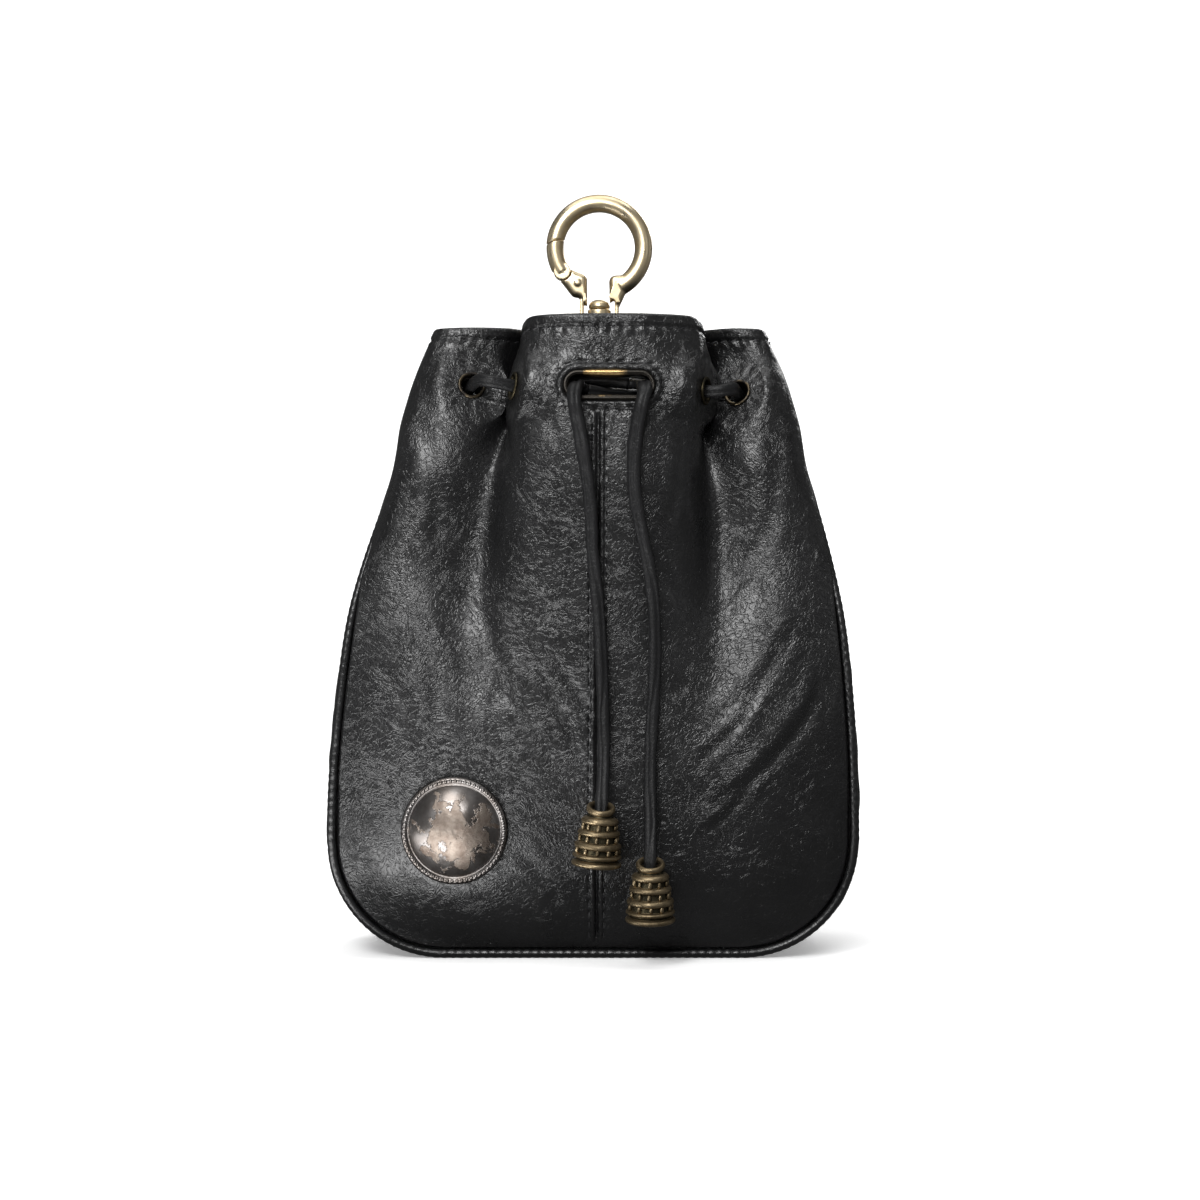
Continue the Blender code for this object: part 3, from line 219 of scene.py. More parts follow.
# Where the metal fittings sit: share across the panel and height
SLOT_PLACE = (0.0, BAG_HEIGHT - 19.1 * MM)
CONCHO_PLACE = (-0.535, 35.9 * MM)
FRONT_EYELETS = (
    ("eyelet_front_left", -0.632, BAG_HEIGHT - 17.8 * MM),
    ("eyelet_wall_left", -0.365, BAG_HEIGHT - 18.4 * MM),
    ("eyelet_wall_right", 0.361, BAG_HEIGHT - 19.8 * MM),
    ("eyelet_front_right", 0.612, BAG_HEIGHT - 19.7 * MM),
)
BACK_EYELETS = (
    ("eyelet_back_left", -0.21, BAG_HEIGHT - 19 * MM),
    ("eyelet_back_right", 0.21, BAG_HEIGHT - 19 * MM),
)
PATCH_FADE = 1.7            # leather is pressed flat under a fitting, fading out at this share
EYELET_PATCH = 8.0 * MM
SLOT_PATCH = (15.5 * MM, 8.0 * MM)
CONCHO_PATCH = 15.5 * MM
NEAR = 6 * MM               # leather further than this from a fitting's plane is another fold

# The drawstring's route in millimetres: the held stretch from behind the left end of the
# slot, through the right wall and front eyelets, round inside the mouth, out and in again at
# the back, and through the left eyelets to behind the right end of the slot
HELD_ROUTE = (
    (-1.6, -27.3, 155.8), (4.0, -25.4, 155.0), (13.0, -23.3, 154.9), (22.6, -21.2, 155.9),
    (28.7, -20.9, 156.3), (33.6, -22.4, 156.1), (36.6, -22.3, 156.5), (38.9, -20.0, 157.0),
    (40.4, -14.9, 156.3), (41.6, -10.5, 154.9), (40.0, -4.5, 154.6), (36.4, 2.0, 155.0),
    (33.4, 8.5, 155.4), (28.0, 13.6, 156.0), (20.5, 17.0, 156.4), (15.5, 20.9, 156.7),
    (13.4, 24.9, 157.4), (9.2, 26.3, 157.6), (2.2, 26.6, 157.7), (-4.6, 26.3, 157.6),
    (-8.8, 24.9, 157.4), (-10.9, 20.9, 156.7), (-15.9, 17.0, 156.4), (-23.9, 13.6, 156.0),
    (-29.6, 8.5, 155.6), (-32.2, 2.0, 155.4), (-34.6, -4.5, 155.6), (-35.0, -10.5, 156.6),
    (-33.7, -16.4, 158.2), (-31.4, -21.2, 159.2), (-28.4, -23.0, 158.8), (-24.4, -22.5, 158.0),
    (-19.0, -21.0, 157.3), (-13.0, -21.8, 157.9), (-4.0, -23.6, 158.8), (4.0, -25.0, 158.8),
    (10.0, -26.9, 157.9),
)

# The two free ends, from inside the slot down into their beads
LEFT_END_ROUTE = (
    (-2.05, -27.45, 155.87), (-3.3, -28.2, 156.2), (-4.1, -29.9, 156.7), (-4.5, -33.2, 156.6),
    (-5.0, -36.0, 154.6),
    (-4.8, -37.2, 151.0), (-3.7, -36.4, 146.0), (-2.6, -34.8, 139.0), (-1.2, -34.7, 130.0),
    (-0.4, -34.4, 121.0), (0.0, -34.0, 112.0), (1.0, -33.8, 102.0), (1.9, -33.9, 91.0),
    (2.5, -34.2, 80.0), (2.9, -34.8, 68.0), (3.0, -36.2, 56.0), (2.6, -38.2, 47.0),
    (2.1, -39.6, 41.0), (1.7, -39.8, 36.0),
)
RIGHT_END_ROUTE = (
    (10.47, -27.06, 157.83), (12.1, -27.7, 157.6), (13.5, -29.6, 157.2), (14.0, -33.0, 156.6),
    (14.0, -36.0, 154.6),
    (13.2, -37.2, 151.0), (12.1, -36.2, 146.0), (11.2, -34.7, 138.0), (11.4, -34.5, 128.0),
    (12.9, -34.1, 119.0), (15.0, -33.4, 109.0), (16.4, -33.2, 98.0), (16.9, -33.4, 86.0),
    (16.5, -33.8, 72.0), (15.8, -34.2, 60.0), (15.5, -35.4, 48.0), (15.5, -37.6, 37.0),
    (15.5, -39.4, 29.0), (15.5, -39.8, 22.0),
)

# Outlines of the ring's two feet, as shares of the ring's radius from its middle
RIGHT_FOOT = (
    # x, z
    (0.22, -0.74), (0.26, -0.66), (0.36, -0.62), (0.58, -0.62), (0.72, -0.80), (0.63, -0.96),
    (0.455, -1.34), (0.385, -1.33), (0.34, -1.17), (0.235, -1.28),
)
LEFT_FOOT = (
    # x, z
    (-0.27, -1.33), (-0.33, -1.30), (-0.43, -1.14), (-0.60, -1.12), (-0.78, -0.88),
    (-0.95, -0.68), (-0.66, -0.48), (-0.31, -0.62), (-0.27, -0.68),
)


# Curves, noise and directions, worked out on whole arrays

def smooth_step(value):
    """Rises gently from 0 to 1 while the value does."""
    share = np.clip(value, 0.0, 1.0)
    return share * share * (3 - 2 * share)


def bell(value):
    """1 at zero, falling off smoothly on both sides."""
    return np.exp(-np.square(value))


def smooth_rows(rows, column, value, key=0):
    """A smooth curve through one column of a table, read at values of its key column."""
    keys = np.array([row[key] for row in rows], dtype=float)
    points = np.array([row[column] for row in rows], dtype=float)
    last = len(keys) - 1
    before = np.maximum(np.arange(last + 1) - 1, 0)
    after = np.minimum(np.arange(last + 1) + 1, last)
    slopes = (points[after] - points[before]) / (keys[after] - keys[before])
    value = np.clip(value, keys[0], keys[-1])
    index = np.clip(np.searchsorted(keys, value, side="right") - 1, 0, last - 1)
    span = keys[index + 1] - keys[index]
    t = (value - keys[index]) / span
    return (
        (2 * t ** 3 - 3 * t ** 2 + 1) * points[index]
        + (t ** 3 - 2 * t ** 2 + t) * span * slopes[index]
        + (3 * t ** 2 - 2 * t ** 3) * points[index + 1]
        + (t ** 3 - t ** 2) * span * slopes[index + 1]
    )


def smooth_route(points, spacing):
    """Points at an even spacing on a smooth curve through chosen ones, in millimetres."""
    places = np.array(points, dtype=float) * MM
    gaps = np.linalg.norm(np.diff(places, axis=0), axis=1)
    distances = np.concatenate(([0.0], np.cumsum(gaps)))
    rows = [(d, *place) for d, place in zip(distances, places)]
    count = max(2, round(distances[-1] / spacing))
    steps = np.linspace(0.0, distances[-1], count + 1)
    return np.stack([smooth_rows(rows, column, steps) for column in (1, 2, 3)], axis=1)


def unit(vectors):
    return vectors / np.linalg.norm(vectors, axis=-1, keepdims=True)


def noise_at(places, size, seed=0.0):
    """Smooth noise from -1 to 1 at places, its lumps about as large as the given size."""
    flat = places.reshape(-1, 3) / size + seed
    values = [noise.noise(place) for place in flat.tolist()]
    return np.array(values).reshape(places.shape[:-1])


# The leather surface, the same as the solids'

def seam(height, column):
    return smooth_rows(SEAM_LINE, column, height / BAG_HEIGHT)


def seam_half_width(height):
    """Half the distance between the side seams, rounded into the base by the corner arcs."""
    half = SEAM_HALF_WIDTH * seam(height, 1)
    drop = np.clip(CORNER_RADIUS + PIPING_RADIUS - height, 0, CORNER_RADIUS)
    return half - CORNER_RADIUS + np.sqrt(CORNER_RADIUS ** 2 - drop ** 2)


def lean(height):
    return SEAM_HALF_WIDTH * seam(height, 2)


def edge_inset():
    """How far a panel's edge stops short of the seam line, to leave room for the piping."""
    return PIPING_RADIUS + SEAM_CLEARANCE


def panel_half_width(height):
    start = CORNER_RADIUS + PIPING_RADIUS
    inset = edge_inset()
    freed = smooth_step((height - start) / CORNER_RADIUS)
    half = SEAM_HALF_WIDTH * seam(height, 1) - inset * (1 - freed)
    radius = CORNER_RADIUS - inset
    drop = np.clip(start - height, 0, radius)
    return half - radius + np.sqrt(radius ** 2 - drop ** 2)


def edge_step(height):
    """How far a panel's edge is drawn back along the panel, above the base's corners."""
    start = CORNER_RADIUS + PIPING_RADIUS
    share = height / BAG_HEIGHT
    turning = smooth_step((share - 0.42) / 0.12) * (1 - smooth_step((share - 0.74) / 0.12))
    return (edge_inset() + TURN_ROOM * turning) * smooth_step((height - start) / CORNER_RADIUS)


def belly(across, height):
    """How full the panel is here, from 0 at its seams to 1 in the middle."""
    share_up = (height - PIPING_RADIUS - edge_inset()) / BAG_HEIGHT
    sideways = np.maximum(0.0, 1 - np.abs(across) ** 3.2)
    upwards = np.clip(share_up / 0.16, 0, 1)
    return sideways ** 0.8 * np.sin(0.5 * math.pi * upwards) ** 0.75


def dents(table, across, height):
    total = 0.0
    for centre, middle, spread, rise, depth in table:
        distance = ((across - centre) / spread) ** 2 + ((height / BAG_HEIGHT - middle) / rise) ** 2
        total = total + depth * np.exp(-distance)
    return total


def panel_point(folds, dent_table, fullness, side, across, height):
    """Points on the outer face of a panel. Side is -1 for the front and 1 for the back."""
    share = height / BAG_HEIGHT
    half = panel_half_width(height)
    depth = BASE_DEPTH / 2
    line_column = 3 if side < 0 else 4
    line = seam(height, line_column)
    inside = 1 - np.abs(across) ** 8
    flat_out = fullness * (belly(across, height) + inside * dents(dent_table, across, height))
    gather = smooth_step((share - FOLDS_START) / (NECK - FOLDS_START))
    rise = smooth_step((share - NECK) / (1 - NECK))
    neck_x = smooth_rows(folds, 2, across, key=1)
    neck_out = smooth_rows(folds, 3, across, key=1)
    mouth_x = smooth_rows(folds, 4, across, key=1)
    mouth_out = smooth_rows(folds, 5, across, key=1)
    fold_x = neck_x + (mouth_x - neck_x) * rise
    fold_out = neck_out + (mouth_out - neck_out) * rise
    neck_line = seam(NECK * BAG_HEIGHT, line_column)
    mouth_line = seam(BAG_HEIGHT, line_column)
    gathered_line = neck_line + (mouth_line - neck_line) * rise
    gathered_line = gathered_line + (line - gathered_line) * np.abs(across) ** 6
    x_share = across + (fold_x - across) * gather
    past_seam = np.maximum(0.0, np.abs(x_share) - 1) * (1 - smooth_step((share - OVERHANG_START) / 0.12))
    x = half * (x_share - np.copysign(past_seam, x_share))
    flat = depth * line + flat_out
    gathered = depth * (gathered_line + fold_out)
    out = flat + (gathered - flat) * gather
    return np.stack(np.broadcast_arrays(x + lean(height), side * out, height), axis=-1)


def hem_line(across, height):
    """Lowers the rows near the mouth a little from the centre lobe to the side lobes."""
    sideways = smooth_step((np.abs(across) - 0.3) / 0.15)
    return height - HEM_DIP * sideways * smooth_step((height / BAG_HEIGHT - 0.8) / 0.2)


def front_surface(across, height):
    return panel_point(FRONT_FOLDS, FRONT_DENTS, FRONT_BELLY, -1, across, height)


def back_surface(across, height):
    return panel_point(BACK_FOLDS, (), BACK_BELLY, 1, across, height)


def edge_share(surface, end, height):
    """The share across at which a panel is an edge's step away from the seam line."""
    step = edge_step(height)
    corner = surface(end, height)
    near = np.full(np.shape(height), 0.7)
    far = np.full(np.shape(height), 1.0)
    for _ in range(20):
        middle = (near + far) / 2
        apart = np.linalg.norm(surface(end * middle, height) - corner, axis=-1) > step
        near = np.where(apart, middle, near)
        far = np.where(apart, far, middle)
    return far


def raw_surface(surface, across, height):
    across, height = np.broadcast_arrays(np.asarray(across, float), np.asarray(height, float))
    heights = np.linspace(0.0, BAG_HEIGHT, 353)
    ends = [np.interp(height, heights, edge_share(surface, end, heights)) for end in (-1, 1)]
    return surface(across * np.where(across < 0, ends[0], ends[1]), height)


def raw_front(across, height):
    return raw_surface(front_surface, across, height)


def raw_back(across, height):
    return raw_surface(back_surface, across, height)


def fitting_frame(surface, across, height, outwards):
    """The place and the outward direction of the leather under a fitting."""
    step = 0.02
    centre = surface(across, height)
    sideways = surface(across + step, height) - surface(across - step, height)
    upwards = surface(across, height + 2 * MM) - surface(across, height - 2 * MM)
    return centre, unit(np.cross(sideways, upwards)) * outwards


def in_frame(points, frame):
    """Distances of points from a fitting's middle: sideways, up and out of the leather."""
    centre, normal = frame
    offset = points - centre
    out = offset @ normal
    flat = offset - out[..., None] * normal
    level = unit(np.cross((0, 0, 1), normal))
    return flat @ level, flat[..., 2], out


def press_flat(points, frame, reach):
    """Moves points towards the flat place under a fitting, reach being its half sizes."""
    sideways, upward, away = in_frame(points, frame)
    share = np.hypot(sideways / reach[0], upward / reach[1])
    weight = (1 - smooth_step((share - 1) / (PATCH_FADE - 1))) * (np.abs(away) <= NEAR)
    return points - (away * weight)[..., None] * frame[1]


def eyelet_patches(surface, eyelets, outwards):
    reach = (EYELET_PATCH, EYELET_PATCH)
    return [(fitting_frame(surface, across, height, outwards), reach) for _, across, height in eyelets]


def front_patches():
    slot = (fitting_frame(raw_front, *SLOT_PLACE, 1), SLOT_PATCH)
    concho = (fitting_frame(raw_front, *CONCHO_PLACE, 1), (CONCHO_PATCH, CONCHO_PATCH))
    return [slot, concho] + eyelet_patches(raw_front, FRONT_EYELETS, 1)


def back_patches():
    return eyelet_patches(raw_back, BACK_EYELETS, -1)


def pressed(points, patches):
    for frame, reach in patches:
        points = press_flat(points, frame, reach)
    return points


# Building blocks

def material_nodes(name):
    material = bpy.data.materials.new(name)
    material.use_nodes = True
    tree = material.node_tree
    return material, tree, tree.nodes["Principled BSDF"]


def feed(tree, node, sources):
    """Gives each named or numbered socket of a node its output socket, number or colour."""
    for socket, source in sources:
        if hasattr(source, "is_output"):
            tree.links.new(source, node.inputs[socket])
        else:
            node.inputs[socket].default_value = source


def add_node(tree, kind, sources=(), **settings):
    node = tree.nodes.new(kind)
    for key, value in settings.items():
        setattr(node, key, value)
    feed(tree, node, sources)
    return node


def object_places(tree):
    return add_node(tree, "ShaderNodeTexCoord").outputs["Object"]


def noise_value(tree, places, scale, detail=2.0, roughness=0.5, distortion=0.0):
    node = add_node(tree, "ShaderNodeTexNoise", [
        ("Vector", places), ("Scale", scale), ("Detail", detail), ("Roughness", roughness),
        ("Distortion", distortion),
    ])
    return node.outputs["Fac"]


def calculate(tree, operation, first, second=0.0, third=0.0):
    node = add_node(tree, "ShaderNodeMath", [(0, first), (1, second), (2, third)], operation=operation)
    return node.outputs[0]


def between(tree, value, low, high, to_low=0.0, to_high=1.0):
    node = add_node(tree, "ShaderNodeMapRange", [
        ("Value", value), ("From Min", low), ("From Max", high), ("To Min", to_low), ("To Max", to_high),
    ])
    node.clamp = True
    return node.outputs[0]


def blend_colours(tree, share, first, second):
    node = add_node(tree, "ShaderNodeMix", [(0, share), (6, first), (7, second)], data_type="RGBA")
    return node.outputs[2]


def bump(tree, height, distance, below=None):
    sources = [("Height", height), ("Distance", distance), ("Strength", 1.0)]
    if below is not None:
        sources.append(("Normal", below))
    return add_node(tree, "ShaderNodeBump", sources).outputs["Normal"]


def mesh_from(name, points, faces):
    mesh = bpy.data.meshes.new(name)
    mesh.from_pydata(np.asarray(points).reshape(-1, 3).tolist(), [], faces)
    mesh.update()
    mesh.shade_smooth()
    return mesh


def new_object(name, data):
    obj = bpy.data.objects.new(name, data)
    bpy.context.scene.collection.objects.link(obj)
    return obj


def add_piece(name, mesh, material, body, nodes=()):
    """Links a piece, gives it its material and ties it to a body of the model."""
    piece = new_object(name, mesh)
    mesh.materials.append(material)
    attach(piece, body)
    if nodes:
        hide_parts(*nodes)
    return piece


def grid_faces(rows, columns, keep=None, closed=False, start=0):
    """Four-sided faces of a grid of points, without those that keep says no to."""
    faces = []
    last = columns if closed else columns - 1
    for r in range(rows - 1):
        for c in range(last):
            if keep is not None and not keep[r, c]:
                continue
            d = (c + 1) % columns
            a, b = start + r * columns + c, start + r * columns + d
            faces.append((a, b, b + columns, a + columns))
    return faces


def closing_faces(rows, width):
    """Four-sided faces from the last row of a closed tube to its first."""
    last = (rows - 1) * width
    return [(last + c, last + (c + 1) % width, (c + 1) % width, c) for c in range(width)]


def end_faces(rows, width):
    """The two faces that close the ends of a tube."""
    last = (rows - 1) * width
    return [tuple(reversed(range(width))), tuple(range(last, last + width))]


def turned_over(faces):
    return [tuple(reversed(face)) for face in faces]


def outward_faces(mesh, weld=0.0):
    """Turns a mesh's faces outwards, after joining points nearer than the weld distance."""
    shape = bmesh.new()
    shape.from_mesh(mesh)
    if weld:
        bmesh.ops.remove_doubles(shape, verts=shape.verts, dist=weld)
    bmesh.ops.recalc_face_normals(shape, faces=shape.faces)
    shape.to_mesh(mesh)
    shape.free()


def joined(meshes):
    """One list of points and one of faces from several."""
    points, faces = [], []
    for more_points, more_faces in meshes:
        shift = len(points)
        points.extend(np.asarray(more_points).reshape(-1, 3).tolist())
        faces.extend(tuple(i + shift for i in face) for face in more_faces)
    return points, faces


def along(points):
    """Directions along a line of points, and the distance of each from the first."""
    steps = np.gradient(points, axis=0)
    gaps = np.linalg.norm(np.diff(points, axis=0), axis=1)
    return unit(steps), np.concatenate(([0.0], np.cumsum(gaps)))


def carried_sides(directions, first):
    """A sideways direction at each point of a line, carried along it without twist."""
    side = np.asarray(first, dtype=float)
    sides = []
    for direction in directions:
        side = side - direction * (side @ direction)
        side = side / np.linalg.norm(side)
        sides.append(side)
    return np.array(sides)


def swept(points, sides, section, closed=False):
    """A section of (sideways, other way) carried along a line, its ends closed. The section
    is the same all the way, or else a function of the distance along the line."""
    directions, distances = along(points)
    if closed:
        directions = unit(np.roll(points, -1, axis=0) - np.roll(points, 1, axis=0))
    sides = np.broadcast_to(np.asarray(sides, dtype=float), points.shape)
    others = np.cross(directions, sides)
    rows = []
    for point, side, other, distance in zip(points, sides, others, distances):
        outline = section(distance) if callable(section) else section
        rows.append(point + outline[:, :1] * side + outline[:, 1:] * other)
    width = len(rows[0])
    faces = grid_faces(len(rows), width, closed=True)
    faces += closing_faces(len(rows), width) if closed else end_faces(len(rows), width)
    return np.concatenate(rows), faces


def circle(radius, sides):
    angles = np.linspace(0, 2 * math.pi, sides, endpoint=False)
    return np.stack((radius * np.cos(angles), radius * np.sin(angles)), axis=1)


ON_AXIS = 0.0001 * MM       # the radius at which a turned shape ends on its axis


def turned(profile, sides, closed=True):
    """A shape turned about Z from a profile of (radius, height)."""
    profile = np.array(profile, dtype=float)
    angles = np.linspace(0, 2 * math.pi, sides, endpoint=False)
    radius, height = profile[:, :1], profile[:, 1:]
    points = np.stack((
        radius * np.cos(angles), radius * np.sin(angles), np.broadcast_to(height, (len(profile), sides)),
    ), axis=-1)
    faces = grid_faces(len(profile), sides, closed=True)
    if closed:
        faces += closing_faces(len(profile), sides)
    return points.reshape(-1, 3), turned_over(faces)


def rounded_profile(corners, radius, steps=3):
    """A closed outline with each corner rounded by a quarter turn or less."""
    corners = np.array(corners, dtype=float)
    points = []
    for i in range(len(corners)):
        corner = corners[i]
        before = corners[i - 1] - corner
        after = corners[(i + 1) % len(corners)] - corner
        reach = min(radius, 0.45 * np.linalg.norm(before), 0.45 * np.linalg.norm(after))
        start = corner + before / np.linalg.norm(before) * reach
        end = corner + after / np.linalg.norm(after) * reach
        for t in np.linspace(0, 1, steps + 1):
            points.append((1 - t) ** 2 * start + 2 * t * (1 - t) * corner + t ** 2 * end)
    return np.array(points)


def placed(points, place, matrix):
    """Points turned by a matrix and moved to a place."""
    turn = np.array(matrix.to_3x3())
    return np.asarray(points) @ turn.T + np.asarray(place)


def upright_turn(normal):
    """The turn that lays a shape's -Y side on an outward direction and keeps its X level."""
    front = Vector(normal).normalized()
    level = Vector((0, 0, 1)).cross(front).normalized()
    up = front.cross(level)
    return Matrix((level, -front, up)).transposed()


def standing_turn(normal):
    """The turn that lays a shape's +Z side on an outward direction."""
    return Vector((0, 0, 1)).rotation_difference(Vector(normal)).to_matrix()


def racetrack(length, height, arc_steps, straight_steps=1):
    """An outline with round ends, as points in X and Z."""
    radius = height / 2
    straight = length / 2 - radius
    points = []
    for end in (1, -1):
        for i in range(arc_steps + 1):
            angle = -0.5 * math.pi + math.pi * i / arc_steps
            points.append((end * (straight + radius * math.cos(angle)), end * radius * math.sin(angle)))
        for i in range(1, straight_steps):
            points.append((end * straight * (1 - 2 * i / straight_steps), end * radius))
    return points


def outside_racetrack(sideways, upward, length, height):
    """How far points lie outside an outline with round ends, less than 0 inside it."""
    radius = height / 2
    past = np.maximum(0.0, np.abs(sideways) - (length / 2 - radius))
    return np.hypot(past, upward) - radius


# Materials

def leather(name, colour, lighter, rough, crinkle_depth, whorl_depth, grain_depth, shine=0.5):
    """Semi-gloss leather: crinkles, contour-like wrinkles, small grain and uneven gloss."""
    material, tree, shader = material_nodes(name)
    places = object_places(tree)
    broad = noise_value(tree, places, 105, 3.2, 0.5, 0.6)
    ridges = calculate(tree, "SINE", calculate(tree, "MULTIPLY", broad, 230))
    where = between(tree, noise_value(tree, places, 95, 2), 0.36, 0.6, 0.35, 1.0)
    lines = calculate(tree, "MULTIPLY", ridges, where)
    winding = noise_value(tree, places, 480, 2.0, 0.5, 0.7)
    off_middle = calculate(tree, "ABSOLUTE", calculate(tree, "SUBTRACT", winding, 0.5))
    crinkles = between(tree, off_middle, 0.0, 0.06)
    grain = noise_value(tree, places, 1700, 3, 0.6)
    soft = noise_value(tree, places, 190, 3, 0.55, 0.8)
    normal = bump(tree, soft, 0.00002)
    normal = bump(tree, lines, whorl_depth, normal)
    normal = bump(tree, crinkles, crinkle_depth, normal)
    normal = bump(tree, grain, grain_depth, normal)
    tone = between(tree, noise_value(tree, places, 40, 4), 0.35, 0.7)
    gloss = between(tree, noise_value(tree, places, 120, 4, 0.6), 0.3, 0.7, rough - 0.02, rough + 0.06)
    feed(tree, shader, [
        ("Normal", normal), ("Base Color", blend_colours(tree, tone, colour, lighter)),
        ("Roughness", gloss), ("Specular IOR Level", shine),
    ])
    return material


def thread():
    material, tree, shader = material_nodes("black_thread")
    places = object_places(tree)
    fibres = noise_value(tree, places, 3500, 2)
    tone = blend_colours(tree, fibres, (0.006, 0.006, 0.007, 1), (0.022, 0.022, 0.024, 1))
    feed(tree, shader, [
        ("Normal", bump(tree, fibres, 0.00005)), ("Base Color", tone), ("Roughness", 0.55),
    ])
    return material


def metal(name, bright, dull, rough, patch_size):
    """Antique metal: a brighter worn tone and a darker one in patches, with uneven polish."""
    material, tree, shader = material_nodes(name)
    places = object_places(tree)
    patches = noise_value(tree, places, 1 / patch_size, 5, 0.62, 0.6)
    share = between(tree, patches, 0.4, 0.6)
    normal = bump(tree, noise_value(tree, places, 1800, 3), 0.000008)
    feed(tree, shader, [
        ("Base Color", blend_colours(tree, share, bright, dull)), ("Metallic", 1.0),
        ("Roughness", between(tree, share, 0, 1, rough, rough + 0.16)),
        ("Normal", bump(tree, patches, 0.000012, normal)),
    ])
    return material


def distance_from(tree, places, middle):
    node = add_node(tree, "ShaderNodeVectorMath", [(0, places), (1, middle)], operation="DISTANCE")
    return node.outputs["Value"]


def slot_brass_with_painted_glint():
    """Near-black brass with a painted highlight: a gold glint at the middle of the long grommet's upper side.
    """
    material, tree, shader = material_nodes("slot_brass_painted_glint")
    places = object_places(tree)
    centre, normal = front_patches()[0][0]
    upper_side = np.array((-1.2 * MM, 0, SLOT_HEIGHT / 2 - SLOT_RIM))
    away = distance_from(tree, places, tuple(centre + normal * SLOT_RIM_THICKNESS + upper_side))
    ragged = calculate(tree, "MULTIPLY_ADD", noise_value(tree, places, 700, 4), 0.003, away)
    # Painted highlight: the gold glint's mask, a ragged spot at the middle of the grommet's upper side.
    gold = between(tree, ragged, 0.0055, 0.0075, 1.0, 0.0)
    mottle = noise_value(tree, places, 400, 3)
    dark = blend_colours(tree, mottle, (0.028, 0.025, 0.021, 1), (0.016, 0.015, 0.014, 1))
    feed(tree, shader, [
        ("Base Color", blend_colours(tree, gold, dark, (0.4, 0.27, 0.12, 1))), ("Metallic", 1.0),
        ("Roughness", 0.3), ("Normal", bump(tree, noise_value(tree, places, 1800, 3), 0.00001)),
    ])
    return material


def tarnished_silver():
    """Grey silver with an irregular pitted brown patch in the middle of the button."""
    material, tree, shader = material_nodes("tarnished_silver")
    places = object_places(tree)
    centre, _ = fitting_frame(raw_front, *CONCHO_PLACE, 1)
    away = distance_from(tree, places, tuple(centre))
    edge = calculate(tree, "SUBTRACT", noise_value(tree, places, 190, 5, 0.62, 0.4), 0.5)
    ragged = calculate(tree, "MULTIPLY_ADD", edge, 0.022, away)
    patch = between(tree, ragged, 0.0088, 0.0094, 1.0, 0.0)
    mottle = between(tree, noise_value(tree, places, 420, 5, 0.65), 0.35, 0.68)
    brown = blend_colours(tree, mottle, (0.2, 0.17, 0.145, 1), (0.11, 0.085, 0.07, 1))
    cloud = between(tree, noise_value(tree, places, 130, 4, 0.6), 0.4, 0.62)
    grey = blend_colours(tree, cloud, (0.17, 0.16, 0.155, 1), (0.1, 0.088, 0.08, 1))
    pits = noise_value(tree, places, 1500, 3, 0.6)
    pitted = calculate(tree, "MULTIPLY", pits, calculate(tree, "ADD", patch, 0.15))
    feed(tree, shader, [
        ("Base Color", blend_colours(tree, patch, grey, brown)), ("Metallic", 1.0),
        ("Roughness", between(tree, patch, 0, 1, 0.3, 0.46)),
        ("Normal", bump(tree, pitted, 0.00004, bump(tree, patch, 0.00004))),
    ])
    return material


def stage_white(name, glow):
    material, tree, shader = material_nodes(name)
    places = object_places(tree)
    shade = blend_colours(tree, noise_value(tree, places, 3, 2), (0.9, 0.9, 0.9, 1), (0.93, 0.93, 0.93, 1))
    feed(tree, shader, [
        ("Base Color", shade), ("Roughness", 0.9), ("Specular IOR Level", 0.1),
        ("Emission Color", (1, 1, 1, 1)), ("Emission Strength", glow),
    ])
    return material


BLACK_LEATHER = leather(
    "black_leather", (0.003, 0.003, 0.0032, 1), (0.0055, 0.0055, 0.0058, 1), 0.28,
    crinkle_depth=0.00005, whorl_depth=0.00002, grain_depth=0.000016,
)
SMOOTH_LEATHER = leather(
    "smooth_leather", (0.003, 0.003, 0.0032, 1), (0.005, 0.005, 0.0053, 1), 0.28,
    crinkle_depth=0.00002, whorl_depth=0.000008, grain_depth=0.00002,
)
LACE_LEATHER = leather(
    "leather_cord", (0.005, 0.005, 0.0053, 1), (0.009, 0.009, 0.0095, 1), 0.4,
    crinkle_depth=0.00003, whorl_depth=0.00001, grain_depth=0.00003, shine=0.2,
)
THREAD = thread()
DARK_BRASS = metal("blackened_brass", (0.12, 0.095, 0.06, 1), (0.025, 0.022, 0.02, 1), 0.3, 0.003)
OLD_BRASS = metal("antique_brass", (0.25, 0.195, 0.12, 1), (0.12, 0.092, 0.055, 1), 0.4, 0.0035)
OLD_GOLD = metal("antique_gold", (0.80, 0.68, 0.47, 1), (0.62, 0.5, 0.31, 1), 0.27, 0.009)
TARNISHED = tarnished_silver()
SLOT_BRASS_PAINTED_GLINT = slot_brass_with_painted_glint()
# A darker copy of the eyelets' brass: painted shade, for the eyelets in the valley walls and the bells'
# recesses and mouths.
PAINTED_SHADE_BRASS = metal("painted_shade_brass", (0.06, 0.05, 0.03, 1), (0.02, 0.018, 0.012, 1), 0.5, 0.003)


# Camera, level with the middle of the bag

camera_data = bpy.data.cameras.new("camera")
camera_data.lens = 68.25
camera_data.sensor_width = 36
camera_data.clip_start = 0.01
camera_data.clip_end = 20
camera = new_object("camera", camera_data)
camera.location = (0.002, -0.650, 0.0985)
camera.rotation_euler = (math.pi / 2, 0, 0)
bpy.context.scene.camera = camera


# The lace

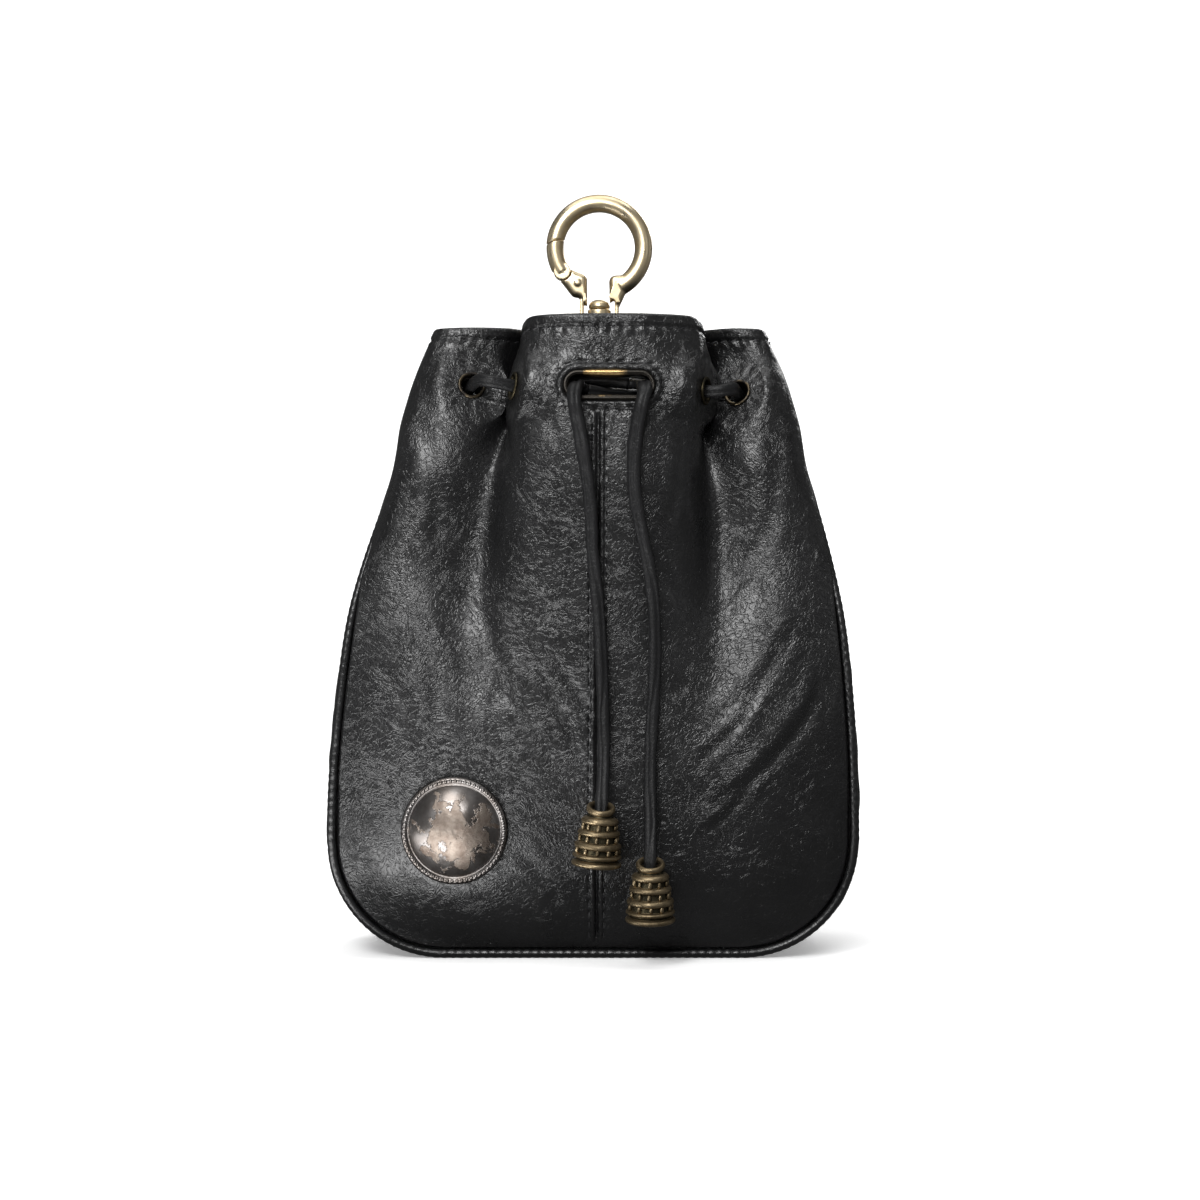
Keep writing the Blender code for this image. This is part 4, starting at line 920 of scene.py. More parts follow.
def lace_section(half_width, half_thickness, groove_place, groove_depth):
    """A folded lace cut across: two rounded ridges with a groove between, front and back."""
    angles = np.linspace(0, 2 * math.pi, 28, endpoint=False)
    wide = half_width * np.sign(np.cos(angles)) * np.abs(np.cos(angles)) ** 0.85
    thick = half_thickness * np.sign(np.sin(angles)) * np.abs(np.sin(angles)) ** 0.75
    pinch = 1 - groove_depth * bell((wide / half_width - groove_place) / 0.17)
    return np.stack((wide, thick * pinch), axis=1)


def lace(points, first_side, wide, narrow, twist, turn_back=False):
    """A folded leather lace along a line, from its wide size to its narrow one."""
    directions, distances = along(points)
    total = distances[-1]
    if turn_back:
        sides = carried_sides(directions[::-1], first_side)[::-1]
    else:
        sides = carried_sides(directions, first_side)
    others = np.cross(directions, sides)
    angle = twist * np.sin(distances / (21 * MM) + 0.6) + 0.5 * twist * np.sin(distances / (7.5 * MM))
    sides = sides * np.cos(angle)[:, None] + others * np.sin(angle)[:, None]

    def section_at(distance):
        share = distance / total
        half = wide + (narrow - wide) * smooth_step(share * 2.5)
        half = half * (1 + 0.035 * math.sin(distance / (3.1 * MM)) + 0.03 * math.sin(distance / (1.27 * MM)))
        place = 0.28 * math.sin(distance / (9 * MM)) + 0.12 * math.sin(distance / (3.3 * MM))
        return lace_section(half, 1.36 * MM, place, 0.34)

    return swept(points, sides, section_at)


def make_free_end(name, route):
    points = smooth_route(route, 0.45 * MM)
    mesh = mesh_from(name + "_lace", *lace(points, (1, 0, 0), 2.1 * MM, 1.72 * MM, 0.35, turn_back=True))
    piece = add_piece(name + "_lace", mesh, LACE_LEATHER, "pouch", [name])
    return piece


def make_held_lace():
    points = smooth_route(HELD_ROUTE, 0.6 * MM)
    mesh = mesh_from("held_lace", *lace(points, (0, 0, 1), 1.75 * MM, 1.75 * MM, 0.3))
    return add_piece("held_lace", mesh, LACE_LEATHER, "pouch", ["drawstring"])


# Bell beads

BEAD_PLAN = (
    # share of the length, outer radius in millimetres
    (0.0, 3.7), (0.09, 3.95), (0.25, 4.9), (0.45, 5.6), (0.67, 6.3), (0.85, 6.6), (1.0, 6.75),
)
BEAD_BAND_PLACES = (
    # middle of the band as a share of the length, half its height in millimetres
    (0.265, 0.95), (0.455, 0.85), (0.655, 0.95), (0.825, 0.6), (0.95, 0.8),
)
BELL_TILT = math.radians(9)       # the bells lean forwards, so that their mouths show


def bead_plan_radius(share):
    return smooth_rows(BEAD_PLAN, 1, share) * MM


def bead_axis(route, top_height):
    points = smooth_route(route, 1.0 * MM)
    top = points[np.argmin(np.abs(points[:, 2] - top_height))]
    return top, unit(top - points[-1])


def bead_wall():
    """The bell's wall: recessed between its bands, hollow inside."""
    outer = []
    for share in np.linspace(0.1, 1.0, 96):
        radius = float(bead_plan_radius(share)) - 1.15 * MM
        for middle, half in BEAD_BAND_PLACES:
            away = abs(share - middle) * BEAD_LENGTH / (half * MM)
            radius += 1.2 * MM * max(0.0, 1 - away ** 2.4) ** 0.5 if away < 1 else 0.0
        outer.append((radius, -share * BEAD_LENGTH))
    inner = [(float(bead_plan_radius(s)) - 2.0 * MM, -s * BEAD_LENGTH) for s in (0.985, 0.7, 0.4)]
    inner += [(2.45 * MM, -0.22 * BEAD_LENGTH), (2.5 * MM, -0.1 * BEAD_LENGTH)]
    return turned(outer + inner, 56)


def bead_collar():
    """A split ring round the lace at the bell's narrow end, lower in front than behind."""
    angles = np.linspace(math.radians(118), math.radians(422), 48)
    slope = math.tan(math.radians(17))
    points = np.stack((
        3.2 * MM * np.cos(angles), 3.2 * MM * np.sin(angles),
        -0.085 * BEAD_LENGTH + 3.2 * MM * np.sin(angles) * slope,
    ), axis=1)
    directions, _ = along(points)
    section = circle(1.0, 14) * (0.92 * MM, 0.72 * MM)
    return swept(points, carried_sides(directions, (0, 0, 1)), section)


def bead_lining():
    """A dark sheet behind the bars and inside the bell's mouth: painted shade for its recesses."""
    outer = []
    for share in np.linspace(0.16, 0.9, 24):
        outer.append((float(bead_plan_radius(share)) - 1.1 * MM, -share * BEAD_LENGTH))
    inner = [(2.42 * MM, -0.5 * BEAD_LENGTH), (2.38 * MM, -0.12 * BEAD_LENGTH)]
    return turned(outer + inner, 40)


def small_ball(place, radius, squash=1.0, sides=8, rings=5):
    profile = [(radius * math.sin(math.pi * i / rings), radius * squash * math.cos(math.pi * i / rings))
               for i in range(1, rings)]
    points, faces = turned(profile, sides, closed=False)
    return points + np.asarray(place), faces + turned_over(end_faces(rings - 1, sides))


def bead_rows():
    """Little upright bars in the recesses between the bands, with the lining's painted shade in the gaps."""
    meshes = []
    random.seed(7)
    for (upper, _), (lower, _) in zip(BEAD_BAND_PLACES[:3], BEAD_BAND_PLACES[1:4]):
        middle = (upper + lower) / 2
        radius = float(bead_plan_radius(middle)) - 0.75 * MM
        count = 11
        for i in range(count):
            angle = 2 * math.pi * (i + 0.3 * random.random()) / count
            place = (radius * math.cos(angle), radius * math.sin(angle), -middle * BEAD_LENGTH)
            meshes.append(small_ball(place, random.uniform(0.42, 0.7) * MM, 1.9))
    return meshes


def make_bell(name, route, top_height):
    top, axis = bead_axis(route, top_height)
    lean_back = Matrix.Rotation(BELL_TILT, 3, "X")
    middle = np.array((0.0, 0.0, -0.62 * BEAD_LENGTH))
    turn = standing_turn(axis)
    parts = []
    for points, faces in (joined([bead_wall(), bead_collar()] + bead_rows()), bead_lining()):
        tilted = (points - middle) @ np.array(lean_back).T + middle
        parts.append((placed(tilted, top, turn), faces))
    bell_mesh = mesh_from(name + "_bell", *parts[0])
    lining_mesh = mesh_from(name + "_inside", *parts[1])
    # The bell's dark lining: painted shade in its recesses and mouth.
    lining = add_piece(name + "_inside", lining_mesh, PAINTED_SHADE_BRASS, "pouch")
    bell_piece = add_piece(name + "_bell", bell_mesh, OLD_BRASS, "pouch", [name])
    return [bell_piece, lining]


left_bell = make_bell("bead_left", LEFT_END_ROUTE, LEFT_BEAD_TOP)
right_bell = make_bell("bead_right", RIGHT_END_ROUTE, RIGHT_BEAD_TOP)
make_free_end("cord_end_left", LEFT_END_ROUTE)
make_free_end("cord_end_right", RIGHT_END_ROUTE)
make_held_lace()


# Leather body

CREASES = (
    # x and z of both ends in millimetres, width, depth
    (-22.5, 87.6, -3.5, 54.9, 1.5, 0.42),
    (-13.0, 84.9, 2.0, 60.3, 1.3, 0.32),
    (-25.2, 74.0, -10.8, 54.1, 1.2, 0.30),
    (-31.0, 96.0, -24.0, 70.0, 2.2, 0.35),
    (70.0, 84.9, 29.3, 30.4, 3.2, 0.32),
    (45.6, 74.0, 29.3, 54.9, 1.4, 0.34),
    (43.7, 49.4, 30.1, 35.0, 1.3, 0.34),
    (61.9, 81.3, 59.2, 68.6, 1.3, 0.30),
    (67.4, 82.1, 40.2, 46.7, 2.2, 0.40),
    (61.9, 71.3, 34.7, 44.0, 1.6, 0.34),
    (56.5, 93.0, 34.7, 65.8, 2.0, 0.3),
    (-58.0, 80.0, -46.0, 58.0, 2.0, 0.34),
    (-50.0, 96.0, -42.0, 64.0, 2.4, 0.38),
    (-64.0, 48.0, -52.0, 20.0, 2.4, 0.30),
    (24.0, 40.0, 40.0, 12.0, 2.2, 0.34),
    (30.0, 22.0, 52.0, 12.0, 1.8, 0.30),
    (-20.0, 30.0, -8.0, 12.0, 1.8, 0.28),
    (50.0, 40.0, 62.0, 22.0, 2.2, 0.34),
    (-12.0, 150.0, -9.0, 120.0, 1.6, 0.30),
    (24.0, 148.0, 20.0, 118.0, 1.6, 0.30),
    (28.0, 172.0, 24.0, 150.0, 1.2, 0.28),
    (-48.0, 150.0, -43.0, 112.0, 2.2, 0.36),
    (50.0, 148.0, 46.0, 110.0, 2.2, 0.36),
    (2.0, 118.0, 26.0, 96.0, 2.2, 0.34),
)


CREASE_SHARE = 0.6          # how much of its listed depth a crease is pressed in


def crease_depths(points):
    """How deep the creases press the leather in, and the swell on both sides of them."""
    x, z = points[..., 0] / MM, points[..., 2] / MM
    total = np.zeros(x.shape)
    for x0, z0, x1, z1, width, depth in CREASES:
        dx, dz = x1 - x0, z1 - z0
        length = math.hypot(dx, dz)
        share = ((x - x0) * dx + (z - z0) * dz) / length ** 2
        bend = 0.06 * length * np.sin(math.pi * np.clip(share, 0, 1))
        aside = ((x - x0) * dz - (z - z0) * dx) / length + bend
        ends = smooth_step((share + 0.12) / 0.3) * smooth_step((1.12 - share) / 0.3)
        swell = 0.75 * bell((np.abs(aside) - 1.9 * width) / (1.1 * width))
        total += CREASE_SHARE * depth * ends * (swell - bell(aside / width))
    return total * MM


def pucker(points, frame, ring, count, depth, reach, seed):
    """Wrinkles that run out from a round fitting."""
    sideways, upward, away = in_frame(points, frame)
    distance = np.hypot(sideways, upward)
    angle = np.arctan2(upward, sideways)
    wave = np.cos(count * angle + 1.3 * np.sin(2 * angle + seed) + seed)
    near = smooth_step((distance - ring) / (1.2 * MM)) * np.exp(-np.maximum(0, distance - ring) / reach)
    return depth * wave * near * (np.abs(away) < NEAR)


def hem_relief(along_hem, below):
    """The turned hem: a raised band, a stitched groove and the small gathers under it."""
    band = 0.32 * MM * (1 - smooth_step((below - 2.1 * MM) / (0.5 * MM)))
    groove = -0.35 * MM * bell((below - HEM_STITCHES) / (0.45 * MM))
    wave = 0.22 * MM * np.cos(2 * math.pi * along_hem / STITCH_PITCH)
    return band + groove + wave * bell((below - 3.2 * MM) / (1.3 * MM))


def gathers(along_hem, below, seed):
    """Upright wrinkles of the drawn-in mouth, fading downwards."""
    places = np.stack((along_hem / (5.2 * MM), below / (26 * MM), np.full(np.shape(below), seed)), axis=-1)
    fine = np.stack((along_hem / (2.3 * MM), below / (15 * MM), np.full(np.shape(below), seed + 9)), axis=-1)
    fade = np.exp(-np.maximum(0, below) / (26 * MM)) * smooth_step(below / (4 * MM))
    return (0.26 * noise_at(places, 1.0) + 0.06 * noise_at(fine, 1.0)) * fade * MM


def seam_relief(points):
    """The upright seam in the middle: a groove, a swell and the dips of its two stitch rows."""
    x, z = points[..., 0], points[..., 2]
    middle = seam_middle(z)
    aside = np.abs(x - middle)
    below_slot = 1 - smooth_step((z - 147 * MM) / (4 * MM))
    groove = -0.85 * bell(aside / (0.42 * MM)) + 0.28 * bell((aside - 1.25 * MM) / (0.7 * MM))
    dips = -0.26 * (1 + np.cos(2 * math.pi * z / STITCH_PITCH)) * bell((aside - SEAM_ROW) / (0.4 * MM))
    return (groove + dips) * below_slot * MM


def seam_middle(height):
    return (1.0 + 0.5 * np.clip(height / (150 * MM), 0, 1)) * MM


def slot_relief(points, frame):
    """The welt round the long grommet, its stitched groove and the wrinkles outside it."""
    sideways, upward, away = in_frame(points, frame)
    outside = outside_racetrack(sideways, upward, SLOT_LENGTH, SLOT_HEIGHT)
    angle = np.arctan2(upward * 2.2, sideways)
    welt = 1.15 * MM * smooth_step((outside + 0.4 * MM) / (0.6 * MM))
    welt = welt * (1 - smooth_step((outside - 1.1 * MM) / (1.1 * MM)))
    groove = -0.3 * MM * bell((outside - 2.05 * MM) / (0.4 * MM))
    wave = np.cos(26 * angle) * bell((outside - 1.9 * MM) / (0.9 * MM)) * 0.26 * MM
    return (welt + groove + wave) * (np.abs(away) < NEAR)


def grid_normals(points, outwards):
    across = np.gradient(points, axis=1)
    upward = np.gradient(points, axis=0)
    return unit(np.cross(across, upward)) * outwards


def hem_distances(points):
    """Distance along the hem of each column, measured on a grid's top row."""
    gaps = np.linalg.norm(np.diff(points[-1], axis=0), axis=1)
    return np.concatenate(([0.0], np.cumsum(gaps)))


def turned_edges(points, normals, thickness):
    """Adds rows and columns that carry a grid's sides and top round to the leather's inner face."""
    grid = points
    normal = normals.copy()
    normal[:, :3] = normal[:, 3:4]
    normal[:, -3:] = normal[:, -4:-3]
    layers = [math.radians(angle) for angle in (0.0, 45.0, 90.0, 135.0, 180.0)]
    tops = []
    upward = unit(grid[-1] - grid[-2])
    half = thickness / 2
    centre = grid[-1] - normal[-1] * half
    for angle in layers[1:]:
        tops.append(centre + normal[-1] * half * math.cos(angle) + upward * half * math.sin(angle))
    inner = tops[-1]
    for depth in (1.5 * MM, 4 * MM, 8 * MM):
        tops.append(inner - upward * depth)
    full = np.concatenate((grid, np.array(tops)))
    normal = np.concatenate((normal, np.broadcast_to(normal[-1], np.array(tops).shape)))
    left = full[:, :1] - normal[:, :1] * thickness
    right = full[:, -1:] - normal[:, -1:] * thickness
    inner_left = left + unit(full[:, 3:4] - full[:, :1]) * 4 * MM
    inner_right = right + unit(full[:, -4:-3] - full[:, -1:]) * 4 * MM
    return np.concatenate((inner_left, left, full, right, inner_right), axis=1)


def panel_grid(surface, places, heights, patches):
    across, height = np.meshgrid(places, heights)
    flat = hem_line(across, height)
    return pressed(raw_surface(surface, across, flat), patches), BAG_HEIGHT - height


def eased(points, rounds, top, fade):
    """Softens the folds below a height: each round moves points half way to their neighbours."""
    for _ in range(rounds):
        middle = points[1:-1, 1:-1]
        around = (points[:-2, 1:-1] + points[2:, 1:-1] + points[1:-1, :-2] + points[1:-1, 2:]) / 4
        weight = 0.5 * smooth_step((top - middle[..., 2:]) / fade)
        points[1:-1, 1:-1] = middle + (around - middle) * weight
    return points


def panel_row_heights(count):
    bottom = PIPING_RADIUS + edge_inset()
    return bottom + (BAG_HEIGHT - bottom) * np.linspace(0, 1, count)


def cut_holes(points, frames, radius):
    """Which faces of a grid stay: all but those inside the fittings' holes."""
    middle = (points[:-1, :-1] + points[1:, 1:]) / 2
    keep = np.ones(middle.shape[:2], dtype=bool)
    for frame in frames:
        sideways, upward, away = in_frame(middle, frame)
        keep &= ~((np.hypot(sideways, upward) < radius) & (np.abs(away) < NEAR))
    return keep


def faces_in_slot(points, frame, margin, near):
    """Which faces of a grid lie inside the slot, a margin or more from its edge."""
    middle = (points[:-1, :-1] + points[1:, 1:]) / 2
    sideways, upward, away = in_frame(middle, frame)
    inside = outside_racetrack(sideways, upward, SLOT_LENGTH, SLOT_HEIGHT) < -margin
    return inside & (np.abs(away) < near)


def free_of_fittings(points, patches):
    """0 under the fittings and 1 away from them, for the leather's unevenness."""
    quiet = np.ones(points.shape[:2])
    for frame, reach in patches:
        sideways, upward, _ = in_frame(points, frame)
        quiet *= smooth_step((np.hypot(sideways / reach[0], upward / reach[1]) - 0.55) / 0.4)
    return quiet


def edge_fade(places, heights):
    """0 at a panel's sides and bottom and 1 further in."""
    upwards = smooth_step((heights[:, None] - heights[0]) / (5 * MM))
    return smooth_step((1 - np.abs(places)) / 0.06) * upwards


def eyelet_puckers(points, patches, seed_step):
    relief = 0.0
    for number, (frame, _) in enumerate(patches):
        relief = relief + pucker(points, frame, 4.1 * MM, 13, 0.16 * MM, 4.5 * MM, seed_step * number)
    return relief


def add_panel(name, points, outwards, keep, node):
    """A panel's leather with its turned edges, without the faces inside its holes."""
    full = turned_edges(points, grid_normals(points, outwards), LEATHER)
    whole = np.ones((full.shape[0] - 1, full.shape[1] - 1), dtype=bool)
    whole[:keep.shape[0], 2:2 + keep.shape[1]] = keep
    faces = grid_faces(full.shape[0], full.shape[1], whole)
    if outwards < 0:
        faces = turned_over(faces)
    return add_piece(name, mesh_from(name, full, faces), BLACK_LEATHER, "pouch", [node])


def make_front():
    patches = front_patches()
    even = np.linspace(-1, 1, 221)
    places = np.unique(np.round(np.concatenate((even, np.linspace(-0.05, 0.08, 40))), 5))
    heights = panel_row_heights(348)
    points, below = panel_grid(front_surface, places, heights, patches)
    points = eased(points, 300, 149 * MM, 26 * MM)
    along_hem = np.broadcast_to(hem_distances(points), below.shape)
    edge = edge_fade(places, heights)
    lumps = 0.26 * MM * noise_at(points, 18 * MM) + 0.02 * MM * noise_at(points, 6 * MM, 4.0)
    lumps = lumps + 0.01 * MM * noise_at(points, 2.6 * MM, 8.0)
    quiet = free_of_fittings(points, patches[1:])
    slot_frame = patches[0][0]
    sideways, upward, _ = in_frame(points, slot_frame)
    outside = outside_racetrack(sideways, upward, SLOT_LENGTH, SLOT_HEIGHT)
    under_hem = 0.15 + 0.85 * smooth_step((below - 3 * MM) / (3 * MM))
    quiet *= smooth_step((outside - 0.5 * MM) / (2 * MM)) * under_hem
    relief = (lumps + crease_depths(points) + gathers(along_hem, below, 1.0)) * quiet * edge
    relief += hem_relief(along_hem, below) * smooth_step((1 - np.abs(places)) / 0.02)
    relief += seam_relief(points) * edge
    relief += slot_relief(points, slot_frame)
    relief += eyelet_puckers(points, patches[2:], 1.7)
    points = points + grid_normals(points, 1) * relief[..., None]
    keep = cut_holes(points, [frame for frame, _ in patches[2:]], EYELET_HOLE)
    keep &= ~faces_in_slot(points, slot_frame, 1.0 * MM, NEAR)
    add_panel("front_leather", points, 1, keep, "front_panel")
    make_lining("front_lining", front_surface, patches, 1)
    return points, below, patches


def make_lining(name, surface, patches, outwards):
    """The inner face of a panel."""
    points, _ = panel_grid(surface, np.linspace(-0.97, 0.97, 110), panel_row_heights(90)[:-3], patches)
    points = points - grid_normals(points, outwards) * LEATHER
    keep = cut_holes(points, [frame for frame, _ in patches if frame[0][2] > 0.1], 3.6 * MM)
    if outwards > 0:
        keep &= ~faces_in_slot(points, patches[0][0], 0.6 * MM, 8 * MM)
    mesh = mesh_from(name, points, grid_faces(points.shape[0], points.shape[1], keep))
    return add_piece(name, mesh, SMOOTH_LEATHER, "pouch")


def make_back():
    patches = back_patches()
    places = np.linspace(-1, 1, 201)
    heights = panel_row_heights(200)
    points, below = panel_grid(back_surface, places, heights, patches)
    along_hem = np.broadcast_to(hem_distances(points), below.shape)
    edge = edge_fade(places, heights)
    lumps = 0.5 * MM * noise_at(points, 15 * MM, 31.0) + 0.24 * MM * noise_at(points, 5.5 * MM, 34.0)
    relief = (lumps + gathers(along_hem, below, 5.0)) * free_of_fittings(points, patches) * edge
    relief += hem_relief(along_hem, below) * smooth_step((1 - np.abs(places)) / 0.02)
    relief += eyelet_puckers(points, patches, 1.1)
    points = points + grid_normals(points, -1) * relief[..., None]
    keep = cut_holes(points, [frame for frame, _ in patches], EYELET_HOLE)
    add_panel("back_leather", points, -1, keep, "back_panel")
    make_lining("back_lining", back_surface, patches, -1)
    return points, below


def seam_path(base_count, arc_count, side_count, top):
    """The seam line from the left end of the mouth round the base to the right end: x, height
    and the outward direction in x and z."""
    start = PIPING_RADIUS + CORNER_RADIUS
    half_base = SEAM_HALF_WIDTH - CORNER_RADIUS
    base = [(half_base * i / base_count, PIPING_RADIUS, 0.0, -1.0) for i in range(base_count)]
    arc = []
    for angle in np.linspace(0, 0.5 * math.pi, arc_count, endpoint=False):
        x = half_base + CORNER_RADIUS * math.sin(angle)
        arc.append((x, start - CORNER_RADIUS * math.cos(angle), math.sin(angle), -math.cos(angle)))
    side = [(float(seam_half_width(h)), h, 1.0, 0.0) for h in np.linspace(start, top, side_count)]
    right = np.array(base + arc + side)
    left = right[:0:-1] * (-1, 1, -1, 1)
    path = np.concatenate((left, right))
    path[:, 0] += lean(path[:, 1])
    return path


def seam_depth(height, side):
    return side * BASE_DEPTH / 2 * seam(height, 3 if side < 0 else 4)


def gusset_points(path, station):
    x, height, out_x, out_z = path.T
    share = height / BAG_HEIGHT
    fold = GUSSET_FOLD_DEPTH * SEAM_HALF_WIDTH * smooth_step((share - 0.5) / 0.5)
    bulge = GUSSET_BULGE * smooth_step((height - 0.4 * CORNER_RADIUS) / CORNER_RADIUS) * (1 - share)
    crown = 1 - abs(station) ** 1.5
    beside = PIPING_RADIUS * (1 - smooth_step((share - 0.4) / 0.3))
    outwards = beside + (bulge - fold) * crown
    front = seam_depth(height, -1)
    depth = front + (seam_depth(height, 1) - front) * (station + 1) / 2
    return np.stack((x + out_x * outwards, depth, height + out_z * outwards), axis=1)


def make_gusset():
    """One strip of leather down one side, under the base and up the other side."""
    path = seam_path(36, 30, 110, BAG_HEIGHT - HEM_DIP)
    columns = []
    for end in (-1, 1):
        edge = gusset_points(path, end)
        inner = gusset_points(path, end * 0.95)
        columns.append(edge + unit(inner - edge) * 0.3 * edge_inset())
    stations = np.linspace(-0.86, 0.86, 33)
    grid = np.stack([columns[0]] + [gusset_points(path, s) for s in stations] + [columns[1]], axis=1)
    normals = grid_normals(grid, -1)
    outward = np.stack((path[:, 2], 0 * path[:, 2], path[:, 3]), axis=1)[:, None]
    normals = normals * np.sign((normals * outward).sum(axis=-1, keepdims=True))
    free = smooth_step((grid[..., 2] - 6 * MM) / (14 * MM))
    relief = (0.45 * MM * noise_at(grid, 11 * MM, 61.0) + 0.2 * MM * noise_at(grid, 4.5 * MM, 64.0)) * free
    outer = grid + normals * relief[..., None]
    outer[..., 2] = np.minimum(outer[..., 2], BAG_HEIGHT - HEM_DIP)
    inner = outer - normals * LEATHER
    inner[..., 2] = np.minimum(inner[..., 2], BAG_HEIGHT - HEM_DIP)
    ring = np.concatenate((outer, inner[:, ::-1]), axis=1)
    rows, width = ring.shape[:2]
    faces = grid_faces(rows, width, closed=True) + turned_over(end_faces(rows, width))
    mesh = mesh_from("gusset_leather", ring, faces)
    outward_faces(mesh)
    return add_piece("gusset_leather", mesh, BLACK_LEATHER, "pouch", ["gusset"])


def make_piping(name, side):
    """A thin leather cord sewn into a seam, drawn in a little at each stitch."""
    path = seam_path(90, 60, 260, BAG_HEIGHT - HEM_DIP)
    points = np.stack((path[:, 0], seam_depth(path[:, 1], side), path[:, 1]), axis=1)
    directions, _ = along(points)
    sides = carried_sides(directions, (0, 1, 0))
    rippled = circle(1.0, 12)

    def section_at(distance):
        radius = PIPING_RADIUS * (0.97 + 0.05 * math.cos(2 * math.pi * distance / (2.3 * MM)))
        return rippled * radius

    mesh = mesh_from(name + "_cord", *swept(points, sides, section_at))
    return add_piece(name + "_cord", mesh, SMOOTH_LEATHER, "pouch", [name])


# Stitches

def capsule(start, end, radius, sides=6):
    """One stitch: a short thread with tapered ends."""
    start, end = np.asarray(start), np.asarray(end)
    direction = unit(end - start)
    helper = np.array((0.0, 0.0, 1.0)) if abs(direction[2]) < 0.9 else np.array((1.0, 0.0, 0.0))
    side = unit(np.cross(direction, helper))
    other = np.cross(direction, side)
    ring = circle(1.0, sides)
    rows = []
    for share, size in ((0, 0.45), (0.18, 1), (0.82, 1), (1, 0.45)):
        place = start + (end - start) * share
        rows.append(place + radius * size * (ring[:, :1] * side + ring[:, 1:] * other))
    faces = grid_faces(len(rows), sides, closed=True) + end_faces(len(rows), sides)
    return np.concatenate(rows), faces


def stitches_along(points, normals, pitch, length, radius, lift, slant=0.0):
    """Stitches at an even pitch along a line that lies on the leather."""
    directions, distances = along(points)
    count = int(distances[-1] / pitch)
    stitches = []
    for i in range(count):
        middle = (i + 0.5) * pitch
        place = np.array([np.interp(middle, distances, points[:, k]) for k in range(3)])
        direction = unit(np.array([np.interp(middle, distances, directions[:, k]) for k in range(3)]))
        normal = unit(np.array([np.interp(middle, distances, normals[:, k]) for k in range(3)]))
        across = np.cross(normal, direction)
        way = unit(direction + slant * across) * length / 2
        stitches.append(capsule(place - way + normal * lift, place + way + normal * lift, radius))
    return stitches


def hem_stitches(points, below, normals):
    """A row of slanting stitches along the hem's groove."""
    row = int(np.argmin(np.abs(below[:, 0] - HEM_STITCHES)))
    return stitches_along(points[row], normals[row], STITCH_PITCH, 2.0 * MM, 0.2 * MM, 0.05 * MM, 0.35)


def make_stitching(front, back):
    points, below, patches = front
    normals = grid_normals(points, 1)
    stitches = hem_stitches(points, below, normals)
    stitches += hem_stitches(*back, grid_normals(back[0], -1))
    for way in (-1, 1):
        rows = np.arange(4, points.shape[0])
        rows = rows[(points[rows, 0, 2] < 146 * MM)]
        line, facing = [], []
        for r in rows:
            target = seam_middle(points[r, 0, 2]) + way * SEAM_ROW
            c = int(np.argmin(np.abs(points[r, :, 0] - target) + 1000 * (np.abs(points[r, :, 0]) > 12 * MM)))
            line.append(points[r, c])
            facing.append(normals[r, c])
        line = np.array(line)
        line[:, 0] = seam_middle(line[:, 2]) + way * SEAM_ROW
        stitches += stitches_along(line, np.array(facing), STITCH_PITCH, 1.9 * MM, 0.17 * MM, 0.04 * MM)
    centre, normal = patches[0][0]
    turn = upright_turn(normal)
    outline = racetrack(SLOT_LENGTH + 3.9 * MM, SLOT_HEIGHT + 3.9 * MM, 10, 12)
    loop = placed([(x, 0.0, z) for x, z in outline + outline[:1]], centre, turn)
    facing = np.broadcast_to(normal, loop.shape)
    stitches += stitches_along(loop, facing, 2.9 * MM, 1.7 * MM, 0.18 * MM, 0.1 * MM)
    mesh = mesh_from("stitching", *joined(stitches))
    return add_piece("stitching", mesh, THREAD, "pouch")


front = make_front()
back = make_back()
make_gusset()
make_piping("front_piping", -1)
make_piping("back_piping", 1)
make_stitching(front, back)


# Metal fittings

def make_eyelet(name, frame):
    """A rolled eyelet: a rounded rim, a flared bore and a flat back flange."""
    centre, normal = frame
    top = GAP + EYELET_FLANGE
    outline = [
        (EYELET_BORE, -LEATHER - GAP - 0.4 * MM), (EYELET_BORE, 0.0), (EYELET_BORE + 0.15 * MM, top * 0.75),
        (EYELET_BORE + 0.55 * MM, top), (EYELET_RIM - 0.15 * MM, top * 0.85), (EYELET_RIM, GAP * 0.7),
        (EYELET_BARREL, GAP * 0.8), (EYELET_BARREL, -LEATHER - GAP), (EYELET_RIM, -LEATHER - GAP),
        (EYELET_RIM - 0.2 * MM, -LEATHER - GAP - 0.4 * MM),
    ]
    points, faces = turned(rounded_profile(outline, 0.16 * MM, 2), 48)
    mesh = mesh_from(name + "_metal", placed(points, centre, standing_turn(normal)), faces)
    # The eyelets in the valley walls take a darker brass: painted shade.
    material = PAINTED_SHADE_BRASS if "wall" in name else DARK_BRASS
    return add_piece(name + "_metal", mesh, material, "pouch", [name])


